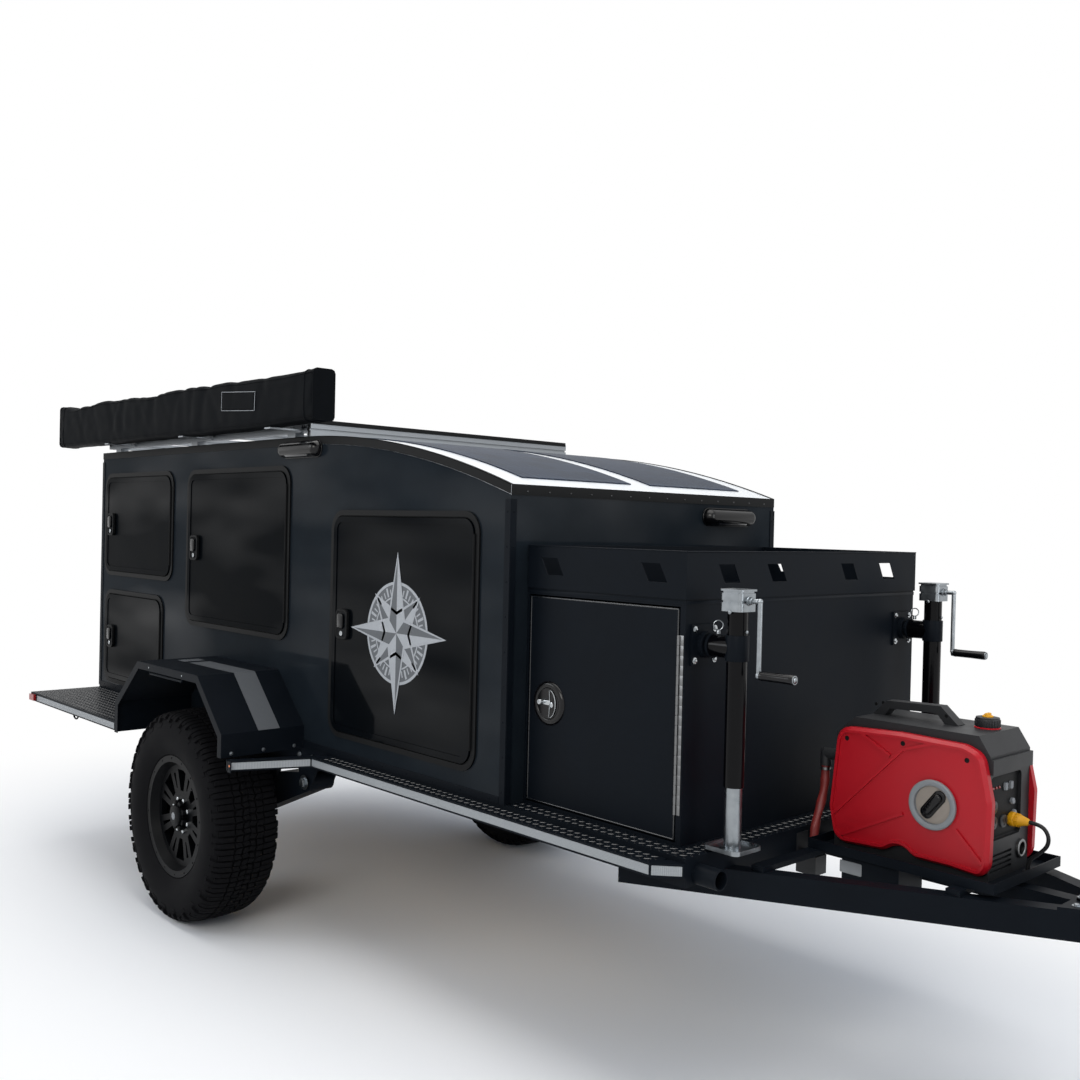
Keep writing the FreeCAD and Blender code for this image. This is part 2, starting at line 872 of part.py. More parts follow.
def make_frame():
    side = block("SideRail", rear, fore(S.frame_nose) - S.tube_wide, -half, -rail_inner,
                 frame_low, S.frame_top)
    node("frame_side_rails", side, mirror(side))

    def cross(name, middle):
        return block(name, middle - S.tube_wide / 2, middle + S.tube_wide / 2,
                     -rail_inner, rail_inner, frame_low, S.frame_top)

    members = [cross("Cross", aft(S.cross_pitch * index)) for index in range(SIDE_CROSSMEMBERS)]
    members.append(cross("CrossRear", rear + S.tube_wide / 2))
    members.append(cross("CrossBox", fore(S.box_cross_fore)))
    nose = block("CrossNose", fore(S.frame_nose) - S.tube_wide, fore(S.frame_nose), -half, half,
                 frame_low, S.frame_top)
    sleeve = rod("CornerStub", "X", (fore(S.frame_nose), -corner_stub_out, S.corner_stub_high),
                 S.corner_stub_radius, S.corner_stub_long)
    bore = rod("CornerStubBore", "X", (fore(S.frame_nose), -corner_stub_out, S.corner_stub_high),
               S.corner_stub_bore, S.corner_stub_long + S.overcut)
    stub = cut("CornerStubPipe", sleeve, bore)
    members.append(fuse("CrossNoseStubs", [nose, stub, mirror(stub)]))
    node("frame_crossmembers", *members)


def make_tongue():
    slant = S.tube_wide * (S.rail_slope * S.rail_slope + 1).root()
    tip = S.centre_tube_wide / 2 + S.rail_gap + slant
    spread = (rail_end - S.rail_start) * S.rail_slope
    outline = [
        (fore(S.rail_start), -(tip + spread)),
        (fore(rail_end), -tip),
        (fore(rail_end), slant - tip),
        (fore(S.rail_start), slant - tip - spread),
    ]
    rail = pad("TongueRail", "XY", [outline], S.rail_top - S.tube_tall, S.rail_top)
    notch = rectangle(fore(S.rail_start) - S.tube_wide, fore(S.frame_nose), -S.body_width, zero)
    add_pocket(rail, "XY", [notch], frame_low, S.rail_top + S.overcut)
    centre = block("CentreTube", fore(S.frame_nose), fore(centre_tube_end),
                   -S.centre_tube_wide / 2, S.centre_tube_wide / 2,
                   S.rail_top - S.centre_tube_tall, S.rail_top)
    node("tongue_rails", rail, mirror(rail), centre)

    plate_root = tip + (rail_end - coupler_start) * S.rail_slope
    neck = S.coupler_nose_wide / 2
    plate_top = S.rail_top + S.coupler_plate
    socket_outer = S.socket_radius + S.socket_wall
    plate = [
        (fore(coupler_start), -plate_root), (fore(rail_end), -tip), (fore(coupler_neck), -neck),
        (fore(ball_fore), -neck), (fore(ball_fore), neck), (fore(coupler_neck), neck),
        (fore(rail_end), tip), (fore(coupler_start), plate_root),
    ]
    body = pad("Coupler", "XY", [plate], S.rail_top, plate_top)
    block_start = fore(rail_end) + S.rail_gap
    nose = [
        (block_start, -tip), (fore(coupler_neck), -neck), (fore(ball_fore), -neck),
        (fore(ball_fore), neck), (fore(coupler_neck), neck), (block_start, tip),
    ]
    add_pad(body, "XY", [nose], S.coupler_low, S.rail_top)
    ball = fore(S.tongue_reach) - socket_outer
    add_pad(body, "XY", [circle(ball, zero, socket_outer)], S.coupler_low, plate_top + S.socket_wall)
    add_pocket(body, "XY", [circle(ball, zero, S.socket_radius)],
               S.coupler_low, S.coupler_low + S.socket_depth)
    add_pocket(body, "XY", [circle(fore(park_jack_fore), zero, S.jack_radius + S.jack_leg_fit)],
               S.rail_top, plate_top)
    lever_low = plate_top + S.socket_wall + S.lever_low
    lever_end = lever_low + S.lever_lift
    lever = [
        (ball - S.lever_root, plate_top), (ball, plate_top), (ball, lever_low + S.lever_thick),
        (ball - S.lever_root, lever_end), (ball - S.lever_long, lever_end + S.lever_thick),
        (ball - S.lever_long, lever_end), (ball - S.lever_root, lever_low),
    ]
    add_pad(body, "XZ", [lever], -S.lever_wide / 2, S.lever_wide / 2)
    node("coupler", body)


def make_park_jack():
    centre = fore(park_jack_fore)
    plate_top = S.rail_top + S.coupler_plate
    tube = new_body("ParkJackTube")
    add_pad(tube, "XY", [circle(centre, zero, S.jack_radius)], S.park_jack_low, S.park_jack_high)
    flange = squircle(centre, zero, S.park_flange_long, S.park_flange_wide, S.park_flange_corner)
    add_pad(tube, "XY", [flange], plate_top, plate_top + S.park_flange_thick)
    add_pocket(tube, "XY", [circle(centre, zero, S.jack_leg_radius + S.jack_leg_fit)],
               S.park_jack_low - S.overcut, S.park_jack_low + S.jack_bore_deep)
    node("tongue_jack_tube", tube)

    leg = rod("ParkJackLeg", "Z", (centre, zero, S.jack_foot_sheet), S.jack_leg_radius,
              S.park_jack_low + S.jack_leg_overlap - S.jack_foot_sheet)
    foot = jack_foot("ParkJack", centre, zero, zero, S.park_foot_wide)
    head = jack_head("ParkJack", centre, zero, S.park_jack_high, S.park_jack_high + S.park_head_tall)
    node("tongue_jack_fittings", fuse("ParkJackLegFoot", [leg, foot]), head)


def jack_foot(name, x, y, low, wide):
    """A square foot of sheet with a raised rim."""
    rise = low + S.jack_foot_sheet
    foot = new_body(name + "Foot")
    outer = squircle(x, y, wide, wide, S.jack_foot_corner)
    room = wide - S.jack_foot_sheet * 2
    add_pad(foot, "XY", [outer], low, rise)
    add_pad(foot, "XY", [outer, squircle(x, y, room, room, S.jack_foot_corner - S.jack_foot_sheet)],
            rise, rise + S.jack_foot_rim)
    return foot


def jack_head(name, x, y, low, high):
    """A jack's gear head with its crank: the shaft forward, the arm down, the grip forward."""
    wide = S.jack_head_wide
    corner = S.jack_head_corner
    slim = wide - S.jack_head_groove_deep * 2
    broad = wide + S.jack_head_plate
    case = pad(name + "Case", "XY",
               [squircle(x, y, slim, slim, corner - S.jack_head_groove_deep)], low, high)
    rib = squircle(x, y, wide, wide, corner)
    add_pad(case, "XY", [rib], low, low + S.jack_head_rib)
    plate_low = high - S.jack_head_plate
    add_pad(case, "XY", [rib], low + S.jack_head_rib + S.jack_head_groove, plate_low - S.jack_head_groove)
    add_pad(case, "XY", [squircle(x, y, broad, broad, corner)], plate_low, high)
    level = (low + high) / 2
    arm_x = x + wide / 2 + S.crank_out
    shaft = rod(name + "Shaft", "X", (x, y, level), S.crank_radius, wide / 2 + S.crank_out)
    arm = rod(name + "Arm", "Z", (arm_x, y, level - S.crank_drop), S.crank_radius, S.crank_drop)
    grip = rod(name + "Grip", "X", (arm_x, y, level - S.crank_drop), S.grip_radius, S.grip_length)
    knee = doc.addObject("Part::Sphere", name + "Knee")
    bind(knee, "Radius", S.crank_radius + S.crank_knee)
    for letter, amount in zip("xyz", (arm_x, y, level)):
        bind(knee, ".Placement.Base." + letter, amount)
    return fuse(name + "Head", [case, shaft, arm, grip, knee])


def make_bars():
    """Bevelled step bars on the sides, flared out ahead of the fenders."""
    path = [
        (fore(S.frame_nose), -bar_nose_outer),
        (fore(S.bar_bevel), -bar_outer),
        (aft(bar_flare_root), -bar_outer),
        (aft(bar_flare_tip), -fender_outer),
    ]
    inner = offset_path(path, -S.bar_tall)
    frame_side = -half - S.bead_fit
    (nose_x, nose_y), (bevel_x, bevel_y) = inner[:2]
    meet_x = bevel_x + (nose_x - bevel_x) * (frame_side - bevel_y) / (nose_y - bevel_y)
    outline = path + inner[:0:-1] + [(meet_x, frame_side), (fore(S.frame_nose), frame_side)]
    bar = pad("StepBar", "XY", [outline], S.bar_top - S.bar_tall, S.bar_top)
    ledge = rectangle(aft(bar_flare_root), fore(S.bar_bevel), S.bar_tall / 2 - bar_outer, -half)
    add_pad(bar, "XY", [ledge], S.bar_top - S.tread_thick, S.bar_top)
    for share in STEP_BAR_TABS:
        middle = aft(bar_flare_root) + (bar_flare_root + S.bar_bevel) * share
        tab = rectangle(middle - S.bar_tab_wide / 2, middle + S.bar_tab_wide / 2,
                        S.bar_tall / 2 - bar_outer, -half)
        add_pad(bar, "XY", [tab], S.bar_top - S.bar_tall, S.bar_top)
    node("step_bars", bar, mirror(bar))


def make_platforms():
    x_low = aft(platform_rear)
    x_high = aft(fender_rear) - S.bead_fit
    ring = [
        rectangle(x_low, x_high, -fender_outer, -half),
        rectangle(x_low + S.bar_tall, x_high - S.bar_tall,
                  S.bar_tall - fender_outer, -half - S.bar_tall),
    ]
    platform = pad("Platform", "XY", ring, S.bar_top - S.bar_tall, S.bar_top)
    add_pad(platform, "XY", [ring[0]], S.bar_top, S.bar_top + S.tread_thick)
    node("side_platforms", platform, mirror(platform))

    deck = pad("Deck", "XY", [rectangle(front, fore(S.frame_nose), -half, half)],
               S.frame_top, S.frame_top + S.tread_thick)
    node("front_deck", deck)


def make_fenders():
    path = [
        (aft(fender_rear), S.fender_rear_low), (aft(fender_rear), S.fender_knee),
        (aft(fender_top_rear), S.fender_top), (aft(fender_top_front), S.fender_top),
        (aft(fender_front), S.fender_knee), (aft(fender_front), S.fender_front_low),
    ]
    fender = pad("Fender", "XZ", [band(path, -S.fender_sheet)], -fender_outer, -half)
    add_pad(fender, "XZ", [band(path, -S.fender_lip)], -fender_outer, S.fender_sheet - fender_outer)
    node_pair("fender", fender)


# Wheels and their trailing arms

def make_wheels():
    tyre = new_body("Tyre")
    bead = S.bead_radius + S.bead_fit
    bead_out = S.rim_half - S.rim_flange_thick - S.bead_inset
    bead_top = S.rim_flange_radius + S.bead_fit
    shoulder = S.tyre_radius - S.tyre_shoulder_drop
    outline = [
        (-bead_out, bead), (-bead_out, bead_top), (-S.tyre_wide / 2, S.tyre_widest),
        (-S.tyre_shoulder_half, shoulder), (-S.tyre_crown_half, S.tyre_radius),
        (S.tyre_crown_half, S.tyre_radius), (S.tyre_shoulder_half, shoulder),
        (S.tyre_wide / 2, S.tyre_widest), (bead_out, bead_top), (bead_out, bead),
    ]
    revolve(tyre, outline)
    place_wheel(tyre)
    node_pair("tyre", tyre)

    wheel = new_body("Wheel")
    lip = S.rim_half
    seat = S.rim_half - S.rim_flange_thick
    flange = S.rim_flange_radius
    skin = S.rim_skin
    drop = S.bead_radius - S.rim_drop
    barrel = [
        (-lip, flange), (-seat, flange), (-seat, S.bead_radius),
        (S.rim_seat_front - seat, S.bead_radius), (S.rim_well_front - seat, drop),
        (seat - S.rim_well_rear, drop), (seat - S.rim_seat_rear, S.bead_radius), (seat, S.bead_radius),
        (seat, flange), (lip, flange), (lip, S.bead_radius - skin),
        (seat - S.rim_skin_rear, drop - skin), (S.rim_skin_front - seat, drop - skin),
        (-lip, S.bead_radius - skin),
    ]
    revolve(wheel, barrel)
    face = S.disc_face
    back = S.disc_face - S.disc_thick
    hub_end = S.drum_far + S.hub_back
    spindle_hole = hub_end - S.spindle_depth - S.spindle_room
    bore = S.spindle_radius + S.spindle_fit
    centre = [
        (-S.cap_face, zero), (-S.cap_face, S.cap_radius - S.cap_bevel),
        (S.cap_bevel_deep - S.cap_face, S.cap_radius), (-face, S.cap_radius), (-face, S.hub_radius),
        (S.spoke_front - seat, drop + S.spoke_front_out),
        (S.rim_well_rear - seat, drop - S.spoke_rear_in), (-back, S.hub_radius),
        (S.drum_near, S.hub_radius), (S.drum_near, S.drum_radius), (S.drum_far, S.drum_radius),
        (S.drum_far, S.hub_radius), (hub_end, S.hub_radius - S.hub_bevel), (hub_end, bore),
        (spindle_hole, bore), (spindle_hole, zero),
    ]
    revolve(wheel, centre)
    window = [
        (-S.window_low_wide / 2, S.window_low), (S.window_low_wide / 2, S.window_low),
        (S.window_high_wide / 2, S.window_high), (-S.window_high_wide / 2, S.window_high),
    ]
    slot = turned([
        (-S.slot_low_wide / 2, S.slot_low), (S.slot_low_wide / 2, S.slot_low),
        (S.slot_high_wide / 2, S.slot_high), (-S.slot_high_wide / 2, S.slot_high),
    ], 180 / WHEEL_WINDOWS)
    for opening in (window, slot):
        spread(wheel, add_pocket(wheel, "XZ", [opening], -lip, S.window_over - back), WHEEL_WINDOWS)
    place_wheel(wheel)
    node_pair("wheel", wheel)


def revolve(body, outline):
    """Revolve an outline of (y, radius) points about the body's own Y axis."""
    feature = body.newObject("PartDesign::Revolution", body.Name + "Revolve")
    feature.Profile = add_sketch(body, "YZ", zero, [outline])
    feature.ReferenceAxis = (feature.Profile[0], ["H_Axis"])
    feature.Angle = 360


def spread(body, feature, count):
    """Repeat a cut evenly round the body's own Y axis."""
    pattern = body.newObject("PartDesign::PolarPattern", body.Name + "Pattern")
    pattern.Originals = [feature]
    axis = next(item for item in body.Origin.OriginFeatures if item.Role == "Y_Axis")
    pattern.Axis = (axis, [""])
    pattern.Angle = 360
    pattern.Occurrences = count
    body.Tip = pattern


def place_wheel(body):
    bind(body, ".Placement.Base.x", aft(wheel_aft))
    bind(body, ".Placement.Base.y", -wheel_out)
    bind(body, ".Placement.Base.z", S.tyre_radius)


def make_suspension():
    pivot_x = aft(arm_pivot_aft)
    pivot_z = S.arm_pivot_high
    hub_x = aft(wheel_aft)
    hub_z = S.tyre_radius
    reach = S.arm_half
    seat_top = hub_z + S.spring_seat_high
    seat_front = aft(spring_aft) + S.spring_radius + S.spring_seat_edge
    seat_rear = aft(spring_aft) - S.spring_radius - S.spring_seat_edge
    arm = new_body("TrailingArm")
    outline = [
        (pivot_x, pivot_z - reach, pivot_x, pivot_z), (pivot_x + reach, pivot_z, pivot_x, pivot_z),
        (pivot_x, pivot_z + reach), (seat_front + S.arm_ramp, pivot_z), (seat_front, seat_top),
        (seat_rear, seat_top), (hub_x - reach, hub_z + reach), (hub_x - reach, hub_z - reach),
        (hub_x + reach, hub_z - reach),
    ]
    add_pad(arm, "XZ", [outline], -arm_outer, -arm_inner)
    add_pocket(arm, "XZ", [circle(pivot_x, pivot_z, S.arm_pin_radius + S.arm_fit)],
               -arm_outer - S.overcut, S.overcut - arm_inner)
    spindle_end = wheel_out - S.drum_far - S.hub_back + S.spindle_depth
    add_pad(arm, "XZ", [circle(hub_x, hub_z, S.spindle_radius)], -spindle_end, -arm_outer)
    node("trailing_arms", arm, mirror(arm))

    mount = new_body("ArmMount")
    plate_low = frame_low - S.mount_plate
    ear_out = arm_outer + S.arm_fit
    ear_in = arm_inner - S.arm_fit
    plate_front = pivot_x + S.mount_ear_half
    plate = rectangle(aft(mount_rear_aft), plate_front, -ear_out - S.ear_thick, -ear_in + S.ear_thick)
    add_pad(mount, "XY", [plate], plate_low, frame_low)
    ear = [
        (pivot_x - S.mount_ear_half, plate_low), (pivot_x - reach, pivot_z, pivot_x, pivot_z),
        (pivot_x, pivot_z - reach, pivot_x, pivot_z), (pivot_x + reach, pivot_z), (plate_front, plate_low),
    ]
    add_pad(mount, "XZ", [ear], -ear_out - S.ear_thick, -ear_out)
    add_pad(mount, "XZ", [ear], -ear_in, -ear_in + S.ear_thick)
    add_pad(mount, "XZ", [circle(pivot_x, pivot_z, S.arm_pin_radius)],
            -ear_out - S.ear_thick - S.arm_pin_end, -ear_in + S.ear_thick + S.arm_pin_end)
    spring_y = -(arm_inner + arm_outer) / 2
    add_pad(mount, "XY", [circle(aft(spring_aft), spring_y, S.spring_radius)],
            seat_top + S.arm_fit, plate_low)
    node("suspension_mounts", mount, mirror(mount))


# Cabin

bend_x = aft(S.roof_bend)
bend_drop = S.roof_top - S.nose_top
roof_radius = (S.roof_bend * S.roof_bend + bend_drop * bend_drop) / (bend_drop * 2)
roof_centre = S.roof_top - roof_radius
under_top = S.roof_top - S.roof_thick
under_radius = roof_radius - S.roof_thick
under_nose = roof_centre + (under_radius * under_radius - S.roof_bend * S.roof_bend).root()

SIDE_DOORS = {
    "front": (front_door_aft, S.front_door_wide, S.front_door_low, S.front_door_high),
    "mid": (mid_door_aft, S.mid_door_wide, S.mid_door_low, S.mid_door_high),
    "upper": (upper_door_aft, S.upper_door_wide, S.upper_door_low, S.upper_door_high),
    "lower": (lower_door_aft, S.lower_door_wide, S.lower_door_low, S.lower_door_high),
}


def door_outline(door, inset):
    aft_edge, wide, low, high = door
    inset = as_size(inset)
    return rounded(aft(aft_edge + wide) + inset, aft(aft_edge) - inset, low + inset, high - inset,
                   S.door_corner - inset)


def hatch_outline(inset):
    inset = as_size(inset)
    return rounded(inset - hatch_half, hatch_half - inset, S.hatch_low + inset,
                   S.hatch_high - inset, S.door_corner - inset)


def make_cabin():
    floor = block("Floor", rear + S.wall_thick, front - S.wall_thick, -inside, inside,
                  S.frame_top, S.frame_top + S.floor_thick)
    node("cabin_floor", floor)

    side = [
        (rear, S.frame_top), (front, S.frame_top), (front, under_nose, bend_x, roof_centre),
        (bend_x, under_top), (rear, under_top),
    ]
    holes = [door_outline(door, S.door_lap) for door in SIDE_DOORS.values()]
    node_pair("wall", pad("SideWall", "XZ", [side] + holes, -half, -inside))

    node("wall_front", block("FrontWall", front - S.wall_thick, front, -inside, inside,
                             S.frame_top, under_nose))
    back = [rectangle(-inside, inside, S.frame_top, under_top), hatch_outline(S.door_lap)]
    node("wall_rear", pad("RearWall", "YZ", back, rear, rear + S.wall_thick))

    skin = [
        (rear, under_top), (rear, S.roof_top), (bend_x, S.roof_top, bend_x, roof_centre),
        (front, S.nose_top), (front, under_nose, bend_x, roof_centre), (bend_x, under_top),
    ]
    node("roof", pad("Roof", "XZ", [skin], -half, half))


def make_doors():
    knuckle = S.door_gap / 2 - S.knuckle_clear
    leaf_inset = S.door_flange + S.door_gap
    frames = []
    for name, door in SIDE_DOORS.items():
        aft_edge, wide, low, high = door
        frame = new_body("Frame" + name.title())
        add_pad(frame, "XZ", [door_outline(door, 0), door_outline(door, S.door_flange)],
                -half - S.flange_proud, -half)
        sleeve = [door_outline(door, S.door_lap + S.sleeve_fit), door_outline(door, S.door_flange)]
        add_pad(frame, "XZ", sleeve, -half, -inside)
        axis_x = aft(aft_edge + S.door_flange) - S.door_gap / 2
        axis_y = -half - S.door_proud - S.door_border_rise
        pin_loop = circle(axis_x, axis_y, knuckle)
        add_pad(frame, "XY", [pin_loop], low + S.door_corner, high - S.door_corner)
        web = rectangle(axis_x, axis_x + S.door_gap, axis_y, -half - S.flange_proud / 2)
        add_pad(frame, "XY", [web], low + S.door_corner, high - S.door_corner)
        frames += [frame, mirror(frame)]

        leaf = new_body("Leaf" + name.title())
        outer = -half - S.door_proud
        add_pad(leaf, "XZ", [door_outline(door, leaf_inset)], outer, outer + S.door_thick)
        border = [door_outline(door, leaf_inset), door_outline(door, leaf_inset + S.door_border)]
        add_pad(leaf, "XZ", border, outer - S.door_border_rise, outer)
        latch_x = aft(aft_edge + wide) + leaf_inset + S.latch_inset + S.latch_wide / 2
        latch_z = (low + high) / 2
        latch = squircle(latch_x, latch_z, S.latch_wide, S.latch_tall, S.latch_corner)
        add_pad(leaf, "XZ", [latch], outer - S.latch_proud, outer)
        node_pair("door_" + name, leaf)

    frame = new_body("FrameHatch")
    add_pad(frame, "YZ", [hatch_outline(0), hatch_outline(S.door_flange)], rear - S.flange_proud, rear)
    add_pad(frame, "YZ", [hatch_outline(S.door_lap + S.sleeve_fit), hatch_outline(S.door_flange)],
            rear, rear + S.wall_thick)
    axis_z = S.hatch_high - S.door_flange - S.door_gap / 2
    axis_x = rear - S.door_proud - S.door_border_rise
    hinge_half = hatch_half - S.door_corner
    add_pad(frame, "XZ", [circle(axis_x, axis_z, knuckle)], -hinge_half, hinge_half)
    web = rectangle(axis_x, rear - S.flange_proud / 2, axis_z, axis_z + S.door_gap)
    add_pad(frame, "XZ", [web], -hinge_half, hinge_half)
    frames.append(frame)
    node("door_frames", *frames)

    leaf = new_body("LeafHatch")
    outer = rear - S.door_proud
    add_pad(leaf, "YZ", [hatch_outline(leaf_inset)], outer, outer + S.door_thick)
    add_pad(leaf, "YZ", [hatch_outline(leaf_inset), hatch_outline(leaf_inset + S.door_border)],
            outer - S.door_border_rise, outer)
    handle_low = S.hatch_low + leaf_inset + S.latch_inset
    handle = squircle(zero, handle_low + S.latch_wide / 2, S.latch_tall * 2, S.latch_wide, S.latch_corner)
    add_pad(leaf, "YZ", [handle], outer - S.latch_proud, outer)
    node("rear_hatch", leaf)


# Tongue box

def make_box():
    low = S.frame_top + S.tread_thick
    x_low, x_high = fore(S.box_rear), fore(S.box_front)
    sheet = S.box_sheet
    case = block("BoxCase", x_low, x_high, -box_half, box_half, low, S.box_top)
    room = block("BoxRoom", x_low + sheet, x_high - sheet, sheet - box_half, box_half - sheet,
                 low + sheet, S.box_top - sheet)
    doorway = block("BoxDoorway", fore(S.box_door_rear), fore(S.box_door_front),
                    -box_half - S.overcut, box_half + S.overcut, S.box_door_low, S.box_door_high)
    shell = cut("BoxShell", cut("BoxHollow", case, room), doorway)
    node("tongue_box", shell)

    gap = S.door_gap
    door = new_body("BoxDoor")
    outline = rectangle(fore(S.box_door_rear) + gap, fore(S.box_door_front) - gap,
                        S.box_door_low + gap, S.box_door_high - gap)
    add_pad(door, "XZ", [outline], -box_half, S.box_door_thick - box_half)
    add_pad(door, "XZ", [circle(fore(S.paddle_fore), S.paddle_high, S.paddle_radius)],
            -box_half - S.paddle_proud, -box_half)
    node_pair("box_door", door)

    axis_x = fore(S.box_door_front) - gap / 2
    reach = S.box_hinge_radius + S.knuckle_clear
    lift = (reach * reach - gap * gap / 4).root()
    hinge = pad("BoxHinge", "XY", [circle(axis_x, -box_half - lift, S.box_hinge_radius)],
                S.box_hinge_low, S.box_hinge_high)
    strip = rectangle(axis_x, axis_x + S.box_hinge_leaf, -box_half - S.box_hinge_sheet, -box_half)
    add_pad(hinge, "XY", [strip], S.box_hinge_low, S.box_hinge_high)
    node("box_hinges", hinge, mirror(hinge))

    over = S.basket_over
    basket = new_body("Basket")
    wall = [
        rectangle(x_low, x_high + over, -box_half - over, box_half + over),
        rectangle(x_low + sheet, x_high + over - sheet, sheet - box_half - over, box_half + over - sheet),
    ]
    add_pad(basket, "XY", wall, S.box_top, S.basket_top)
    lip = S.basket_flange
    flange = [
        wall[0],
        rectangle(x_low + lip, x_high + over - lip, lip - box_half - over, box_half + over - lip),
    ]
    add_pad(basket, "XY", flange, S.box_top, S.box_top + sheet)
    for middle in (S.side_cutout_rear, S.side_cutout_front):
        add_pocket(basket, "XZ", [leaning(fore(middle))], -box_half - over, box_half + over)
    for out in (S.front_cutout_inner, S.front_cutout_outer):
        for middle in (-out, out):
            add_pocket(basket, "YZ", [leaning(middle)], x_high - sheet, x_high + over)
    node("box_basket", basket)


def leaning(middle):
    """A leaning four-sided cut-out about a middle line."""
    wide, lean = S.cutout_wide / 2, S.cutout_lean / 2
    return [
        (middle - wide + lean, S.cutout_low), (middle + wide + lean, S.cutout_low),
        (middle + wide - lean, S.cutout_high), (middle - wide - lean, S.cutout_high),
    ]


# Roof rack, awning, solar panels and lamps

def slotted(u, v, wide, tall):
    """A slotted extrusion's outline about a centre, with an undercut slot in each face."""
    mouth, room = S.rack_slot_mouth / 2, S.rack_slot_room / 2
    lip, deep = S.rack_slot_lip, S.rack_slot_depth
    a, b = wide / 2, tall / 2
    return [
        (u - a, v - b),
        (u - mouth, v - b), (u - mouth, v - b + lip), (u - room, v - b + lip), (u - mouth, v - b + deep),
        (u + mouth, v - b + deep), (u + room, v - b + lip), (u + mouth, v - b + lip), (u + mouth, v - b),
        (u + a, v - b),
        (u + a, v - mouth), (u + a - lip, v - mouth), (u + a - lip, v - room), (u + a - deep, v - mouth),
        (u + a - deep, v + mouth), (u + a - lip, v + room), (u + a - lip, v + mouth), (u + a, v + mouth),
        (u + a, v + b),
        (u + mouth, v + b), (u + mouth, v + b - lip), (u + room, v + b - lip), (u + mouth, v + b - deep),
        (u - mouth, v + b - deep), (u - room, v + b - lip), (u - mouth, v + b - lip), (u - mouth, v + b),
        (u - a, v + b),
        (u - a, v + mouth), (u - a + lip, v + mouth), (u - a + lip, v + room), (u - a + deep, v + mouth),
        (u - a + deep, v - mouth), (u - a + lip, v - room), (u - a + lip, v - mouth), (u - a, v - mouth),
    ]


def make_rack():
    low = S.roof_top + S.rack_lift
    middle = low + S.rack_profile / 2
    side = pad("RackSide", "YZ", [slotted(-rack_centre, middle, S.rack_profile, S.rack_profile)],
               aft(rack_rear), aft(S.rack_front))
    span = S.rack_front - rack_rear
    for share in RACK_FEET:
        foot_x = aft(S.rack_front) + span * share
        foot = rectangle(foot_x - S.rack_foot_wide / 2, foot_x + S.rack_foot_wide / 2,
                         -rack_centre - S.rack_profile / 2, S.rack_profile / 2 - rack_centre)
        add_pad(side, "XY", [foot], S.roof_top, low)
    bar_tall = S.rack_lift + S.rack_profile
    nose_x = aft(S.rack_front) + S.bead_fit + S.rack_bar_thick / 2
    nose_half = rack_centre + S.rack_profile / 2
    nose = pad("RackNose", "XZ",
               [slotted(nose_x, S.roof_top + bar_tall / 2, S.rack_bar_thick, bar_tall)],
               -nose_half, nose_half)
    reach = rack_centre - S.rack_profile / 2 - S.bead_fit
    bars = []
    for index in range(RACK_CROSSBARS):
        place = aft(rack_rear) + S.rack_profile + (rack_rear - S.rack_front) * index / RACK_CROSSBARS
        bars.append(pad("RackCross", "XZ", [slotted(place, middle, S.rack_profile, S.rack_profile)],
                        -reach, reach))
    node("roof_rack", side, mirror(side), nose, *bars)

    bag = pad("AwningBag", "YZ",
              [rounded(-awning_outer, -awning_inner, S.awning_low + S.awning_fit, S.awning_high,
                       S.awning_corner)],
              aft(awning_aft), aft(S.awning_front))
    node("awning_bag", bag)
    outer = rack_centre + S.rack_profile / 2
    hook = [
        (-outer, low), (-outer, low + S.rack_profile),
        (-outer - S.bracket_sheet, low + S.rack_profile), (-outer - S.bracket_sheet, S.awning_low),
        (S.bracket_short - awning_outer, S.awning_low),
        (S.bracket_short - awning_outer, S.awning_low - S.bracket_sheet),
        (-outer - S.bracket_sheet, S.awning_low - S.bracket_sheet), (-outer - S.bracket_sheet, low),
    ]
    brackets = []
    for share in AWNING_BRACKETS:
        place = aft(S.rack_front) + span * share
        brackets.append(pad("AwningBracket", "YZ", [hook], place - S.bracket_wide / 2,
                            place + S.bracket_wide / 2))
    node("awning_brackets", *brackets)


def make_panels():
    over = roof_radius + S.panel_thick

    def height(radius, distance):
        run = S.roof_bend - distance
        return roof_centre + (radius * radius - run * run).root()

    outline = [
        (aft(S.panel_rear), height(roof_radius, S.panel_rear)),
        (aft(S.panel_rear), height(over, S.panel_rear), bend_x, roof_centre),
        (aft(S.panel_front), height(over, S.panel_front)),
        (aft(S.panel_front), height(roof_radius, S.panel_front), bend_x, roof_centre),
    ]
    panel = pad("SolarPanel", "XZ", [outline], -panel_outer, -S.panel_inner)
    node("solar_panels", panel, mirror(panel))


